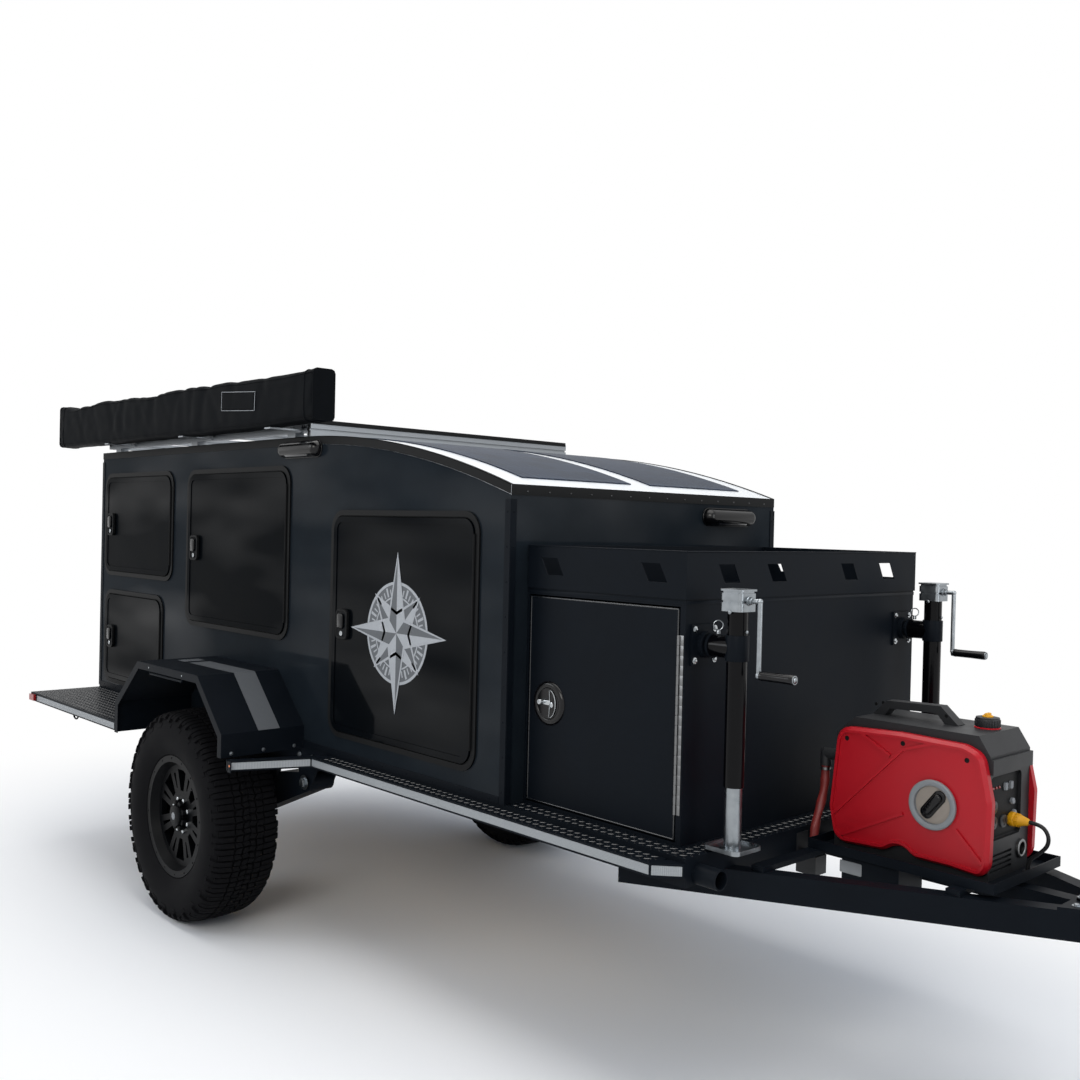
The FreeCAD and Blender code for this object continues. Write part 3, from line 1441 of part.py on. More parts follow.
def make_lamps():
    middle = aft(S.porch_aft)
    wide = S.porch_wide / 2
    corner = S.porch_tall / 2 - 4
    side = pad("PorchSide", "XZ",
               [rounded(middle - wide, middle + wide, S.porch_low, S.porch_low + S.porch_tall, corner)],
               -half - S.porch_deep, -half)
    nose = pad("PorchNose", "YZ",
               [rounded(S.nose_porch_out - wide, S.nose_porch_out + wide, S.nose_porch_low,
                        S.nose_porch_low + S.porch_tall, corner)],
               front, front + S.porch_deep)
    node("porch_lights", side, mirror(side), nose)

    lamp_low = (frame_low + S.frame_top - S.tail_lamp_tall) / 2
    lamp_wide = S.tail_lamp_wide / 2
    tail = pad("TailLamp", "YZ",
               [rounded(-tail_lamp_out - lamp_wide, -tail_lamp_out + lamp_wide, lamp_low,
                        lamp_low + S.tail_lamp_tall, S.tail_lamp_corner)],
               rear - S.tail_lamp_deep, rear)
    bar_middle = S.bar_top - S.bar_tall / 2
    marker_x = aft(platform_rear) + S.marker_inset
    rear_marker = block("RearMarker", marker_x, marker_x + S.marker_wide,
                        -fender_outer - S.marker_deep, -fender_outer,
                        bar_middle - S.marker_tall / 2, bar_middle + S.marker_tall / 2)
    node("red_lamps", tail, mirror(tail), rear_marker, mirror(rear_marker))


# Corner jacks on the tongue box

def make_jacks():
    x, y = fore(S.jack_fore), -jack_out
    pivot = S.jack_pivot_high
    wide = S.jack_plate_wide / 2
    wall = fore(S.box_front)
    plate = block("JackPlate", wall, wall + S.jack_plate_thick, y - wide, y + wide,
                  pivot - wide, pivot + wide)
    stub = rod("JackStub", "X", (wall, y, pivot), S.stub_radius, S.stub_length)
    boss = rod("JackBoss", "X", (wall, y, pivot), S.boss_radius, S.jack_plate_thick + S.boss_long)
    bracket = fuse("JackBracket", [plate, boss, stub])
    node("jack_brackets", bracket, mirror(bracket))

    tube = new_body("JackTube")
    add_pad(tube, "XY", [circle(x, y, S.jack_radius)], S.jack_low, S.jack_high)
    add_pad(tube, "YZ", [circle(y, pivot, S.collar_radius)], fore(S.collar_start), x)
    add_pocket(tube, "YZ", [circle(y, pivot, S.stub_radius + S.stub_fit)],
               fore(S.collar_start), wall + S.stub_length + S.stub_end_room)
    add_pocket(tube, "XY", [circle(x, y, S.jack_leg_radius + S.jack_leg_fit)],
               S.jack_low - S.overcut, S.jack_low + S.jack_bore_deep)
    node_pair("jack_tube", tube)

    leg_low = S.jack_foot_low + S.jack_foot_sheet
    leg = rod("JackLeg", "Z", (x, y, leg_low), S.jack_leg_radius,
              S.jack_low + S.jack_leg_overlap - leg_low)
    foot = jack_foot("Jack", x, y, S.jack_foot_low, S.jack_foot_wide)
    head = jack_head("Jack", x, y, S.jack_high, S.jack_head_high)
    fittings = doc.addObject("Part::Compound", "JackFittings")
    fittings.Links = [fuse("JackLegFoot", [leg, foot]), head]
    node_pair("jack_fittings", fittings)


# Generator in its tray

def make_generator():
    sheet = S.tray_sheet
    x_low, x_high = fore(S.tray_rear), fore(S.tray_front)
    side = S.tray_half
    tray = new_body("Tray")
    add_pad(tray, "XY", [rectangle(x_low, x_high, -side, side)], S.tray_low, S.tray_low + sheet)
    add_pad(tray, "XY",
            [rectangle(x_low, x_high, -side, side),
             rectangle(x_low + sheet, x_high - sheet, sheet - side, side - sheet)],
            S.tray_low, S.tray_low + S.tray_tall)
    slant = S.tube_wide * (S.rail_slope * S.rail_slope + 1).root()
    tip = S.centre_tube_wide / 2 + S.rail_gap + slant
    for place in (S.tray_rear, S.tray_bar_front):
        reach = tip + (rail_end - place - S.tray_bar_wide) * S.rail_slope
        bar = rectangle(fore(place), fore(place) + S.tray_bar_wide, -reach, reach)
        add_pad(tray, "XY", [bar], S.rail_top, S.tray_low)
    end_x, end_y, end_z = LEAD_ROUTE[-1]
    gland = circle(fore(end_x), as_size(end_y), S.gland_radius)
    floor_top = S.tray_low + sheet
    add_pad(tray, "XY", [gland], floor_top, as_size(end_z))
    node("generator_tray", tray)

    inner = S.gen_half - S.gen_shell
    g_rear, g_front = fore(S.gen_rear), fore(S.gen_front)
    core = new_body("GeneratorCore")
    low_edge = g_front - S.gen_hood_slope
    hood = [
        (g_rear + S.gen_core_inset, floor_top), (g_front, floor_top), (g_front, S.gen_hood_edge),
        (low_edge, S.gen_hood_top), (g_rear + S.gen_hood_slope * 2, S.gen_hood_top),
        (g_rear + S.gen_core_inset, S.gen_hood_edge),
    ]
    add_pad(core, "XZ", [hood], -inner, inner)
    handle_low = S.gen_hood_top - S.gen_handle_sunk
    handle_under = S.gen_handle_top - S.gen_handle_bar
    back, ahead = g_rear + S.gen_handle_rear, g_rear + S.gen_handle_front
    bar = S.gen_handle_bar
    rise, fall = back + S.gen_handle_rear_rise, ahead - S.gen_handle_front_fall
    handle = [
        (back, S.gen_hood_edge), (rise, S.gen_handle_top - bar / 4), (fall, S.gen_handle_top),
        (ahead, handle_low + bar), (ahead, handle_low), (ahead - bar, handle_low),
        (fall - bar / 2, handle_under), (rise + bar / 2, handle_under - bar / 4),
        (rise - bar, handle_low), (back + bar, S.gen_hood_edge),
    ]
    add_pad(core, "XZ", [handle], -S.gen_handle_half, S.gen_handle_half)
    cap = circle(g_front - S.cap_from_front, S.cap_out, S.fuel_cap_radius)
    add_pad(core, "XY", [cap], S.gen_hood_top - S.fuel_cap_radius, S.gen_hood_top + S.fuel_cap_rise)
    brow = rectangle(-inner, inner, S.brow_low, S.brow_high)
    add_pad(core, "YZ", [brow], g_front, g_front + S.brow_proud)
    face = rounded(-S.panel_right, S.panel_left, S.panel_low, S.panel_high, S.panel_corner)
    add_pocket(core, "YZ", [face], g_front - S.panel_recess, g_front)
    step = (S.louvre_high - S.louvre_low) / LOUVRES
    slots = [
        rectangle(-S.louvre_right, S.louvre_left, S.louvre_low + step * index,
                  S.louvre_low + step * index + S.louvre_tall)
        for index in range(LOUVRES)
    ]
    add_pocket(core, "YZ", slots, g_front - S.louvre_deep, g_front)
    outlet = circle(S.muffler_out, S.muffler_high, S.muffler_radius)
    add_pad(core, "YZ", [outlet], g_front, g_front + S.muffler_proud)
    add_pocket(core, "YZ", [circle(S.muffler_out, S.muffler_high, S.muffler_bore)],
               g_front - S.muffler_deep, g_front + S.muffler_proud)
    start_x, start_y, start_z = CONDUIT_ROUTE[0]
    bend_z = start_z + S.conduit_elbow
    elbow_down = rod("ElbowDown", "Z", (fore(start_x), as_size(start_y), as_size(start_z)),
                     S.elbow_radius, S.conduit_elbow)
    elbow_back = rod("ElbowBack", "X", (fore(start_x), as_size(start_y), bend_z),
                     S.elbow_radius, S.gen_rear + S.elbow_run - start_x)
    elbow_knee = doc.addObject("Part::Sphere", "ElbowKnee")
    bind(elbow_knee, "Radius", S.elbow_radius)
    for letter, amount in zip("xyz", (fore(start_x), start_y, bend_z)):
        bind(elbow_knee, ".Placement.Base." + letter, amount)
    node("generator_core", fuse("GeneratorCoreElbow", [core, elbow_down, elbow_back, elbow_knee]))

    def loop(points, radius):
        return [tuple(as_size(part) if index % 2 else g_rear + part for index, part in enumerate(point))
                for point in eased(points, radius)]

    side = loop(SHELL_SIDE, S.gen_corner.value)
    closed = [(as_size(u), as_size(v)) for u, v in SHELL_SIDE + SHELL_SIDE[:2]]
    field = [(u.value, v.value) for u, v in offset_path(closed, S.gen_shell_rim)[1:-1]]
    field = loop(field, S.gen_field_corner.value)
    edge_y = S.gen_shell_edge - S.gen_half
    floor_y = S.gen_shell_recess - S.gen_half
    shell = pad("GeneratorShell", "XZ", [side], edge_y, -inner)
    add_pad(shell, "XZ", [side], -S.gen_half, edge_y, S.gen_shell_draft)
    add_pocket(shell, "XZ", [field], -S.gen_half, floor_y)
    for path in SHELL_RIDGES:
        ridge = [(g_rear + along, as_size(high)) for along, high in path]
        add_pad(shell, "XZ", [band(ridge, S.gen_ridge_wide)], -S.gen_half, floor_y)
    recoil = circle(g_rear + S.recoil_fore, S.recoil_high, S.recoil_radius)
    face_y = -S.gen_half - S.recoil_proud
    add_pad(shell, "XZ", [recoil], face_y, floor_y)
    dish = circle(g_rear + S.recoil_fore, S.recoil_high, S.recoil_bore)
    add_pocket(shell, "XZ", [dish], face_y, face_y + S.recoil_dish)
    node("generator_shells", shell, mirror(shell))

    plug = rod("Plug", "X", (g_front - S.panel_recess, S.plug_out, S.plug_high), S.plug_radius,
               S.plug_long)
    node("generator_plug", plug)
    node("generator_lead", tube_along("generator_lead", LEAD_ROUTE, LEAD_RADIUS))
    node("sleeved_conduit", tube_along("sleeved_conduit", CONDUIT_ROUTE, CONDUIT_RADIUS))

    end_x, end_y, end_z = CONDUIT_ROUTE[-1]
    box_wide = S.junction_wide / 2
    wall = fore(S.frame_nose)
    junction = block("JunctionBox", wall, fore(end_x) + box_wide, end_y - box_wide, end_y + box_wide,
                     end_z - S.junction_wide, as_size(end_z))
    ear = block("JunctionEar", wall, wall + S.tray_sheet, end_y - box_wide, end_y + box_wide,
                as_size(end_z), S.frame_top - S.gland_tall)
    node("junction_box", fuse("JunctionBoxEar", [junction, ear]))

    case = rounded(-S.battery_outer, -S.battery_inner, S.battery_low, S.tray_low, S.battery_corner)
    battery = pad("BatteryBox", "YZ", [case], fore(S.battery_rear), fore(S.battery_front))
    node("battery_box", battery)


make_frame()
make_tongue()
make_park_jack()
make_bars()
make_platforms()
make_fenders()
make_wheels()
make_suspension()
make_cabin()
make_doors()
make_box()
make_rack()
make_panels()
make_lamps()
make_jacks()
make_generator()
doc.recompute()

# Every object has to be sound, and every cut has to take material away, before anything is written.
for thing in doc.Objects:
    faults = [state for state in thing.State if state in ("Invalid", "Error")]
    if faults:
        raise RuntimeError(f"{thing.Label}: {faults}")
    if thing.TypeId == "PartDesign::Pocket" and thing.BaseFeature:
        if thing.Shape.Volume >= thing.BaseFeature.Shape.Volume:
            raise RuntimeError(f"{thing.Label} cuts nothing")
for thing in nodes:
    if thing.Shape.isNull() or not thing.Shape.isValid():
        raise RuntimeError(f"{thing.Label} has no sound shape")

os.makedirs("parts", exist_ok=True)
for thing in nodes:
    thing.Shape.exportStep(f"parts/{thing.Label}.step")
print(len(nodes), "sub-parts written")
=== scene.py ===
import json
import math
import random

import bmesh
import bpy
from bpy.props import FloatProperty, FloatVectorProperty, IntProperty, PointerProperty
from mathutils import Euler, Matrix, Vector, noise


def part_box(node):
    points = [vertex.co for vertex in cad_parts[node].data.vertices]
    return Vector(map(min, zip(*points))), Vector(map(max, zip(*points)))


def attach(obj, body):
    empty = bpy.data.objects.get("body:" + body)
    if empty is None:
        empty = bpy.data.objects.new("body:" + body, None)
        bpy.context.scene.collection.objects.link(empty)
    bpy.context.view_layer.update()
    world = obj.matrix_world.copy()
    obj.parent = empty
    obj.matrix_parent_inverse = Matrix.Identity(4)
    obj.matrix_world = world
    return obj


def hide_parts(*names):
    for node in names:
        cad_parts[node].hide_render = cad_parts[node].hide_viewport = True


bl_info = {
    "name": "Teardrop trailer finish",
    "version": (1, 0, 0),
    "blender": (4, 5, 0),
    "location": "3D View > Sidebar > Trailer",
    "description": "Finishes, soft parts and small fittings of an off-road teardrop trailer",
    "category": "Object",
}

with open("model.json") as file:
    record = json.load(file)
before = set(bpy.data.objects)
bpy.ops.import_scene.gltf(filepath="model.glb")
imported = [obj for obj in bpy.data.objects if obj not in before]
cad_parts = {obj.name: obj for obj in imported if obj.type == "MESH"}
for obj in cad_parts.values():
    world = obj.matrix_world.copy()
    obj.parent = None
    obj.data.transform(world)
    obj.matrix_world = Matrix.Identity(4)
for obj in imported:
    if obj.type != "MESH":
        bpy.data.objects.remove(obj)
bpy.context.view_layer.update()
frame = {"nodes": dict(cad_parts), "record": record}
BOX = {name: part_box(name) for name in frame["nodes"]}
MM = 0.001
SIDES = {"right": -1, "left": 1}
FORWARD = (1, 0, 0)
BACKWARD = (-1, 0, 0)
UPWARD = (0, 0, 1)

# The camera's place and aim, found from the straight edges of the trailer.
CAMERA_PLACE = Vector((3.5365, -3.0516, 1.6438))
CAMERA_TURN = 47.2283
CAMERA_PITCH = -0.6027
CAMERA_ROLL = -1.3435
CAMERA_LENS = 37.558

# Each lamp's name, place, turn in degrees, size, power and colour.
LAMPS = (
    ("overhead", (0.2, -0.6, 5.6), (0, 0, 0), (7.0, 4.0), 200, (1, 0.98, 0.95)),
    ("key", (3.6, -5.6, 3.9), (58, 0, 28), (3.2, 2.2), 120, (1, 0.97, 0.93)),
    ("front", (6.4, 0.8, 2.6), (74, 0, 96), (2.6, 2.6), 70, (0.94, 0.97, 1)),
    ("side", (-3.6, -5.2, 3.2), (64, 0, -30), (3.0, 1.6), 60, (0.93, 0.96, 1)),
)

# Points of the generator's lead and of the sleeved conduit, with x from the cabin's front wall.
WALL_X = BOX["wall_front"][1].x
LEAD_ROUTE = [
    (1.3490, 0.0250, 0.8720),
    (1.3800, 0.0250, 0.8720),
    (1.4010, 0.0260, 0.8500),
    (1.4010, 0.0270, 0.8190),
    (1.3760, 0.0285, 0.7910),
    (1.3450, 0.0300, 0.7650),
    (1.3450, 0.0300, 0.7330),
]
LEAD_THICK = 11 * MM
CONDUIT_ROUTE = [
    (0.7856, -0.1000, 0.9500),
    (0.7856, -0.1000, 0.9000),
    (0.7856, -0.1140, 0.8500),
    (0.7856, -0.1400, 0.8000),
    (0.7856, -0.1560, 0.7450),
    (0.7856, -0.1560, 0.6900),
]


def linear(code):
    """An sRGB hex colour as linear values."""
    parts = [int(code[i:i + 2], 16) / 255 for i in (0, 2, 4)]
    return tuple(c / 12.92 if c <= 0.04045 else ((c + 0.055) / 1.055) ** 2.4 for c in parts)


def rgba(colour):
    """A hex code or three linear values as four linear values."""
    return (*(linear(colour) if isinstance(colour, str) else colour), 1.0)


# Sizes and colours that a user would change

class TrailerSizes(bpy.types.PropertyGroup):
    tread_depth: FloatProperty(
        name="Tread depth", description="Height of the tyre's tread blocks",
        default=11 * MM, min=4 * MM, max=16 * MM, unit="LENGTH")
    tread_pitches: IntProperty(
        name="Tread pitches", description="Repeats of the tread pattern round the tyre",
        default=54, min=30, max=80)
    diamond_pitch: FloatProperty(
        name="Diamond pitch", description="Distance between the raised diamonds of the tread plate",
        default=30 * MM, min=15 * MM, max=60 * MM, unit="LENGTH")
    bag_slack: FloatProperty(
        name="Bag slack", description="Share by which the awning bag's cloth is larger than its load",
        default=0.022, min=0.0, max=0.15, subtype="FACTOR")


class TrailerColours(bpy.types.PropertyGroup):
    body: FloatVectorProperty(
        name="Body", description="Gloss paint of the cabin's walls",
        default=linear("14191E"), size=3, subtype="COLOR", min=0, max=1)
    door: FloatVectorProperty(
        name="Doors", description="Gloss paint of the doors' panels",
        default=linear("040608"), size=3, subtype="COLOR", min=0, max=1)
    generator: FloatVectorProperty(
        name="Generator", description="Moulded side shells of the generator",
        default=linear("A80E1C"), size=3, subtype="COLOR", min=0, max=1)


# Node trees

def add_node(tree, kind, settings=None, **links):
    """Add a node, set its properties and socket values, and link its inputs."""
    made = tree.nodes.new(kind)
    for key, value in (settings or {}).items():
        if isinstance(key, int) or key in made.inputs:
            made.inputs[key].default_value = value
        else:
            setattr(made, key, value)
    for key, source in links.items():
        index = int(key[3:]) if key.startswith("in_") else key.replace("_", " ")
        tree.links.new(source, made.inputs[index])
    return made


def new_material(name, colour, roughness, metallic=0.0, specular=0.5, **settings):
    """A material with one Principled shader whose constants sit on its own sockets."""
    made = bpy.data.materials.new(name)
    made.use_nodes = True
    shader = made.node_tree.nodes["Principled BSDF"]
    values = {"Base Color": rgba(colour), "Roughness": roughness, "Metallic": metallic,
              "Specular IOR Level": specular, **settings}
    for key, value in values.items():
        shader.inputs[key.replace("_", " ")].default_value = value
    return made, made.node_tree, shader


def object_space(tree):
    return add_node(tree, "ShaderNodeTexCoord").outputs["Object"]


def place_noise(tree, scale, detail=3.0, stretch=(1, 1, 1)):
    """Noise in object space with a feature size of one over scale, in metres."""
    spread = add_node(tree, "ShaderNodeMapping", {"Scale": stretch}, Vector=object_space(tree))
    made = add_node(tree, "ShaderNodeTexNoise", {"Scale": scale, "Detail": detail, "Roughness": 0.5},
                    Vector=spread.outputs["Vector"])
    return made.outputs["Fac"]


def vary(tree, shader, socket, factor, low, high, start=0.0):
    """Let a texture move a shader's number between two values, from a level of the texture up."""
    limits = {"From Min": start, "To Min": low, "To Max": high}
    span = add_node(tree, "ShaderNodeMapRange", limits, Value=factor)
    tree.links.new(span.outputs["Result"], shader.inputs[socket])


def tint(tree, shader, factor, dark, light):
    """Let a texture mix a shader's colour between two colours."""
    mix = add_node(tree, "ShaderNodeMix", {"data_type": "RGBA", 6: rgba(dark), 7: rgba(light)}, in_0=factor)
    tree.links.new(mix.outputs[2], shader.inputs["Base Color"])


def bump(tree, shader, height, distance, strength=1.0, socket="Normal"):
    """Raise the surface by a texture, by a distance in metres."""
    made = add_node(tree, "ShaderNodeBump", {"Distance": distance, "Strength": strength}, Height=height)
    tree.links.new(made.outputs["Normal"], shader.inputs[socket])


# Materials, each named for the real one and how its surface was made

def powder_coated_steel():
    """Satin black powder coat: fine orange peel of about 2 mm, and a little dust in its gloss."""
    made, tree, shader = new_material("powder_coated_steel", "121418", 0.46, specular=0.09, IOR=1.4)
    bump(tree, shader, place_noise(tree, 1 / (2.2 * MM), 2), 0.05 * MM, 0.5)
    cloud = place_noise(tree, 7, 4)
    vary(tree, shader, "Roughness", cloud, 0.38, 0.56)
    tint(tree, shader, cloud, "090D12", "0F141A")
    return made


def gloss_painted_panel(name, colour, shade):
    """Gloss paint on composite sheet: slow waves and uneven polish move the shine of its clear coat."""
    made, tree, shader = new_material(name, colour, 0.32, specular=0.02, IOR=1.4, Coat_Weight=0.12,
                                      Coat_Roughness=0.05, Coat_IOR=1.4)
    waves = place_noise(tree, 2.6, 1, (1, 1, 1.6))
    bump(tree, shader, waves, 2.5 * MM, 0.35, "Coat Normal")
    polish = place_noise(tree, 1.9, 2, (0.5, 1, 1.7))
    vary(tree, shader, "Coat Weight", polish, 0.0, 0.75, 0.4)
    film = place_noise(tree, 9, 5)
    vary(tree, shader, "Roughness", film, 0.3, 0.44)
    tint(tree, shader, film, colour, shade)
    return made


def gloss_black_enamel():
    """Gloss black stove enamel on drawn steel tube: deep black with slow ripples in its shine."""
    made, tree, shader = new_material("gloss_black_enamel", "040406", 0.12, specular=0.14)
    ripple = place_noise(tree, 30, 2, (1, 1, 0.1))
    bump(tree, shader, ripple, 0.4 * MM, 0.4)
    vary(tree, shader, "Roughness", ripple, 0.08, 0.2)
    return made


def burnished_enamel():
    """Black enamel burnished by boots and hands: tread bars and door edges glint."""
    made, tree, shader = new_material("burnished_black_enamel", "0A0C10", 0.2, specular=0.8)
    scuff = place_noise(tree, 1 / (9 * MM), 3)
    tint(tree, shader, scuff, "07090C", "14181D")
    vary(tree, shader, "Roughness", scuff, 0.16, 0.4)
    return made


def moulded_rubber_trim():
    """Extruded EPDM edge trim: matt black with a faint skin."""
    made, tree, shader = new_material("extruded_rubber_trim", "0C0D0E", 0.55, specular=0.12)
    grain = place_noise(tree, 1 / (3 * MM), 3)
    bump(tree, shader, grain, 0.08 * MM, 0.4)
    vary(tree, shader, "Roughness", grain, 0.45, 0.65)
    return made


def coil_coated_roof():
    """White coil-coated aluminium sheet: smooth, with faint dirt runs."""
    made, tree, shader = new_material("coil_coated_aluminium", "DDE0E1", 0.3, Coat_Weight=0.3)
    dirt = place_noise(tree, 5, 6, (1, 4, 1))
    tint(tree, shader, dirt, "C9CCCD", "E6E8E9")
    vary(tree, shader, "Roughness", dirt, 0.25, 0.45)
    return made


def clear_anodised_extrusion():
    """Clear anodised aluminium extrusion: satin metal with fine die lines along its length."""
    made, tree, shader = new_material("clear_anodised_aluminium", "8D9195", 0.4, 0.85)
    lines = place_noise(tree, 1 / (1.5 * MM), 2, (0.01, 1, 1))
    bump(tree, shader, lines, 0.06 * MM, 0.5)
    vary(tree, shader, "Roughness", lines, 0.3, 0.46)
    return made


def zinc_plated_steel():
    """Bright zinc plate over turned and pressed steel: cool grey with a blotchy film."""
    made, tree, shader = new_material("zinc_plated_steel", "8F9496", 0.34, 1.0)
    film = place_noise(tree, 40, 5)
    tint(tree, shader, film, "7A8085", "A2A7AB")
    vary(tree, shader, "Roughness", film, 0.2, 0.42)
    return made


def brushed_stainless():
    """Rolled stainless strip: fine brush lines along its height."""
    made, tree, shader = new_material("brushed_stainless_strip", "757677", 0.42, 1.0)
    lines = place_noise(tree, 1 / (1.2 * MM), 2, (1, 1, 0.02))
    bump(tree, shader, lines, 0.05 * MM, 0.6)
    vary(tree, shader, "Roughness", lines, 0.24, 0.42)
    return made


def chromed_steel():
    """Polished chrome plate on bent steel rod."""
    made, tree, shader = new_material("chromed_steel", "B4B8BB", 0.12, 1.0)
    vary(tree, shader, "Roughness", place_noise(tree, 60, 4), 0.08, 0.22)
    return made


def tyre_rubber():
    """Vulcanised tyre rubber: near-black, dusty in patches, with a fine moulded grain."""
    made, tree, shader = new_material("vulcanised_tyre_rubber", "0F0F10", 0.78, specular=0.08)
    dust = place_noise(tree, 14, 6)
    tint(tree, shader, dust, "070709", "0F0F11")
    bump(tree, shader, place_noise(tree, 1 / (2.5 * MM), 3), 0.12 * MM, 0.5)
    vary(tree, shader, "Roughness", dust, 0.68, 0.9)
    return made


def cast_wheel_paint():
    """Satin black enamel on a cast alloy wheel: slightly pebbled by the casting."""
    made, tree, shader = new_material("enamelled_cast_alloy", "050608", 0.4, specular=0.09)
    cast = place_noise(tree, 1 / (4 * MM), 3)
    bump(tree, shader, cast, 0.1 * MM, 0.5)
    vary(tree, shader, "Roughness", cast, 0.34, 0.5)
    return made


def coated_bag_fabric():
    """PU-coated polyester: a plain weave, drawn at 3 mm so that it shows, and a dull sheen on the folds."""
    made, tree, shader = new_material("coated_polyester_cloth", "0E0F11", 0.6, specular=0.03)
    where = object_space(tree)
    threads = {"Scale": 1 / (3 * MM) / 20, "Distortion": 0.4, "bands_direction": "X"}
    weave = []
    for turn in ((0, 0, 0), (0, math.pi / 2, 0)):
        spread = add_node(tree, "ShaderNodeMapping", {"Rotation": turn}, Vector=where)
        weave.append(add_node(tree, "ShaderNodeTexWave", threads, Vector=spread.outputs["Vector"]))
    cloth = add_node(tree, "ShaderNodeMath", {"operation": "MAXIMUM"},
                     in_0=weave[0].outputs["Fac"], in_1=weave[1].outputs["Fac"])
    bump(tree, shader, cloth.outputs[0], 0.15 * MM, 0.4)
    rub = place_noise(tree, 18, 5)
    tint(tree, shader, rub, "07090B", "0E1013")
    vary(tree, shader, "Roughness", rub, 0.5, 0.72)
    return made


def moulded_plastic(name, colour, roughness, grain_mm=0.8, depth_mm=0.04, spread=0.06):
    """Injection-moulded plastic with a spark-eroded grain and a little wear in its gloss."""
    made, tree, shader = new_material(name, colour, roughness, specular=0.3)
    bump(tree, shader, place_noise(tree, 1 / (grain_mm * MM), 2), depth_mm * MM, 0.6)
    wear = place_noise(tree, 20, 5)
    vary(tree, shader, "Roughness", wear, roughness - spread, roughness + spread)
    return made


def sealed_plywood():
    """Birch plywood sealed with lacquer: long grain along X with slow colour bands."""
    made, tree, shader = new_material("lacquered_birch_plywood", "B89A6B", 0.45)
    grain = place_noise(tree, 60, 6, (0.05, 1, 1))
    tint(tree, shader, grain, "9C7C50", "CBB083")
    bump(tree, shader, grain, 0.1 * MM, 0.4)
    return made


def solar_cell_sheet():
    """Monocrystalline cells under embossed ETFE: 125 mm dark blue squares with fine silver busbars."""
    made, tree, shader = new_material("laminated_solar_cells", "0F1826", 0.5, specular=0.12)
    where = object_space(tree)
    cell = 125 * MM
    cells = add_node(tree, "ShaderNodeTexBrick", {
        "offset": 0.0, "Scale": 1.0, "Mortar Size": 1.4 * MM, "Mortar Smooth": 0.1,
        "Brick Width": cell, "Row Height": cell, "Color1": rgba("161F2E"), "Color2": rgba("1B2638"),
        "Mortar": rgba("3A4A5C")}, Vector=where)
    bars = add_node(tree, "ShaderNodeTexBrick", {
        "offset": 0.0, "Scale": 1.0, "Mortar Size": 0.5 * MM, "Brick Width": 10.0, "Row Height": cell / 4,
        "Color1": (0, 0, 0, 1), "Color2": (0, 0, 0, 1), "Mortar": (1, 1, 1, 1)}, Vector=where)
    mix = add_node(tree, "ShaderNodeMix", {"data_type": "RGBA", 7: rgba("6F7C88")},
                   in_0=bars.outputs["Color"], in_6=cells.outputs["Color"])
    tree.links.new(mix.outputs[2], shader.inputs["Base Color"])
    dimple = add_node(tree, "ShaderNodeTexVoronoi", {"Scale": 1 / (3 * MM)}, Vector=where)
    bump(tree, shader, dimple.outputs["Distance"], 0.2 * MM, 0.5)
    return made


def lens_plastic(name, colour):
    """Moulded polycarbonate lens with fluted optics of 4 mm behind a glossy face."""
    made, tree, shader = new_material(name, colour, 0.16, IOR=1.5, Coat_Weight=0.3)
    flutes = add_node(tree, "ShaderNodeTexVoronoi", {"Scale": 1 / (4 * MM), "Randomness": 0.0},
                      Vector=object_space(tree))
    bump(tree, shader, flutes.outputs["Distance"], 0.6 * MM, 0.6)
    vary(tree, shader, "Roughness", flutes.outputs["Distance"], 0.08, 0.3)
    return made


def reflective_tape(name, near, far):
    """Prismatic tape: small cells with a painted glint at different brightness, from the first colour at
    each cell's middle towards the second at its rim.
    """
    made, tree, shader = new_material(name, "787B7D", 0.4, 0.3, 0.3)
    cells = add_node(tree, "ShaderNodeTexVoronoi", {"Scale": 1 / (4 * MM), "Randomness": 0.15},
                     Vector=object_space(tree))
    # Painted glint: each cell is lighter at its middle and darker towards its rim.
    tint(tree, shader, cells.outputs["Distance"], near, far)
    bump(tree, shader, cells.outputs["Distance"], 0.1 * MM, 0.5)
    return made


def grey_vinyl(name, colour, dark, light):
    """Cast vinyl film in a grey with a faint metallic fleck."""
    made, tree, shader = new_material(name, colour, 0.42, 0.1, 0.3)
    fleck = place_noise(tree, 1 / (2 * MM), 2)
    tint(tree, shader, fleck, dark, light)
    vary(tree, shader, "Roughness", fleck, 0.36, 0.5)
    return made


def sleeve_silicone():
    """Red silicone-coated glass sleeve: dull, creased and rubbed pale along its ridges."""
    made, tree, shader = new_material("silicone_coated_sleeve", "6E1414", 0.5)
    rub = place_noise(tree, 30, 6, (1, 1, 0.4))
    tint(tree, shader, rub, "4A0D0E", "8C2A24")
    bump(tree, shader, rub, 1.2 * MM, 0.6)
    vary(tree, shader, "Roughness", rub, 0.38, 0.62)
    return made


FINISH = {}


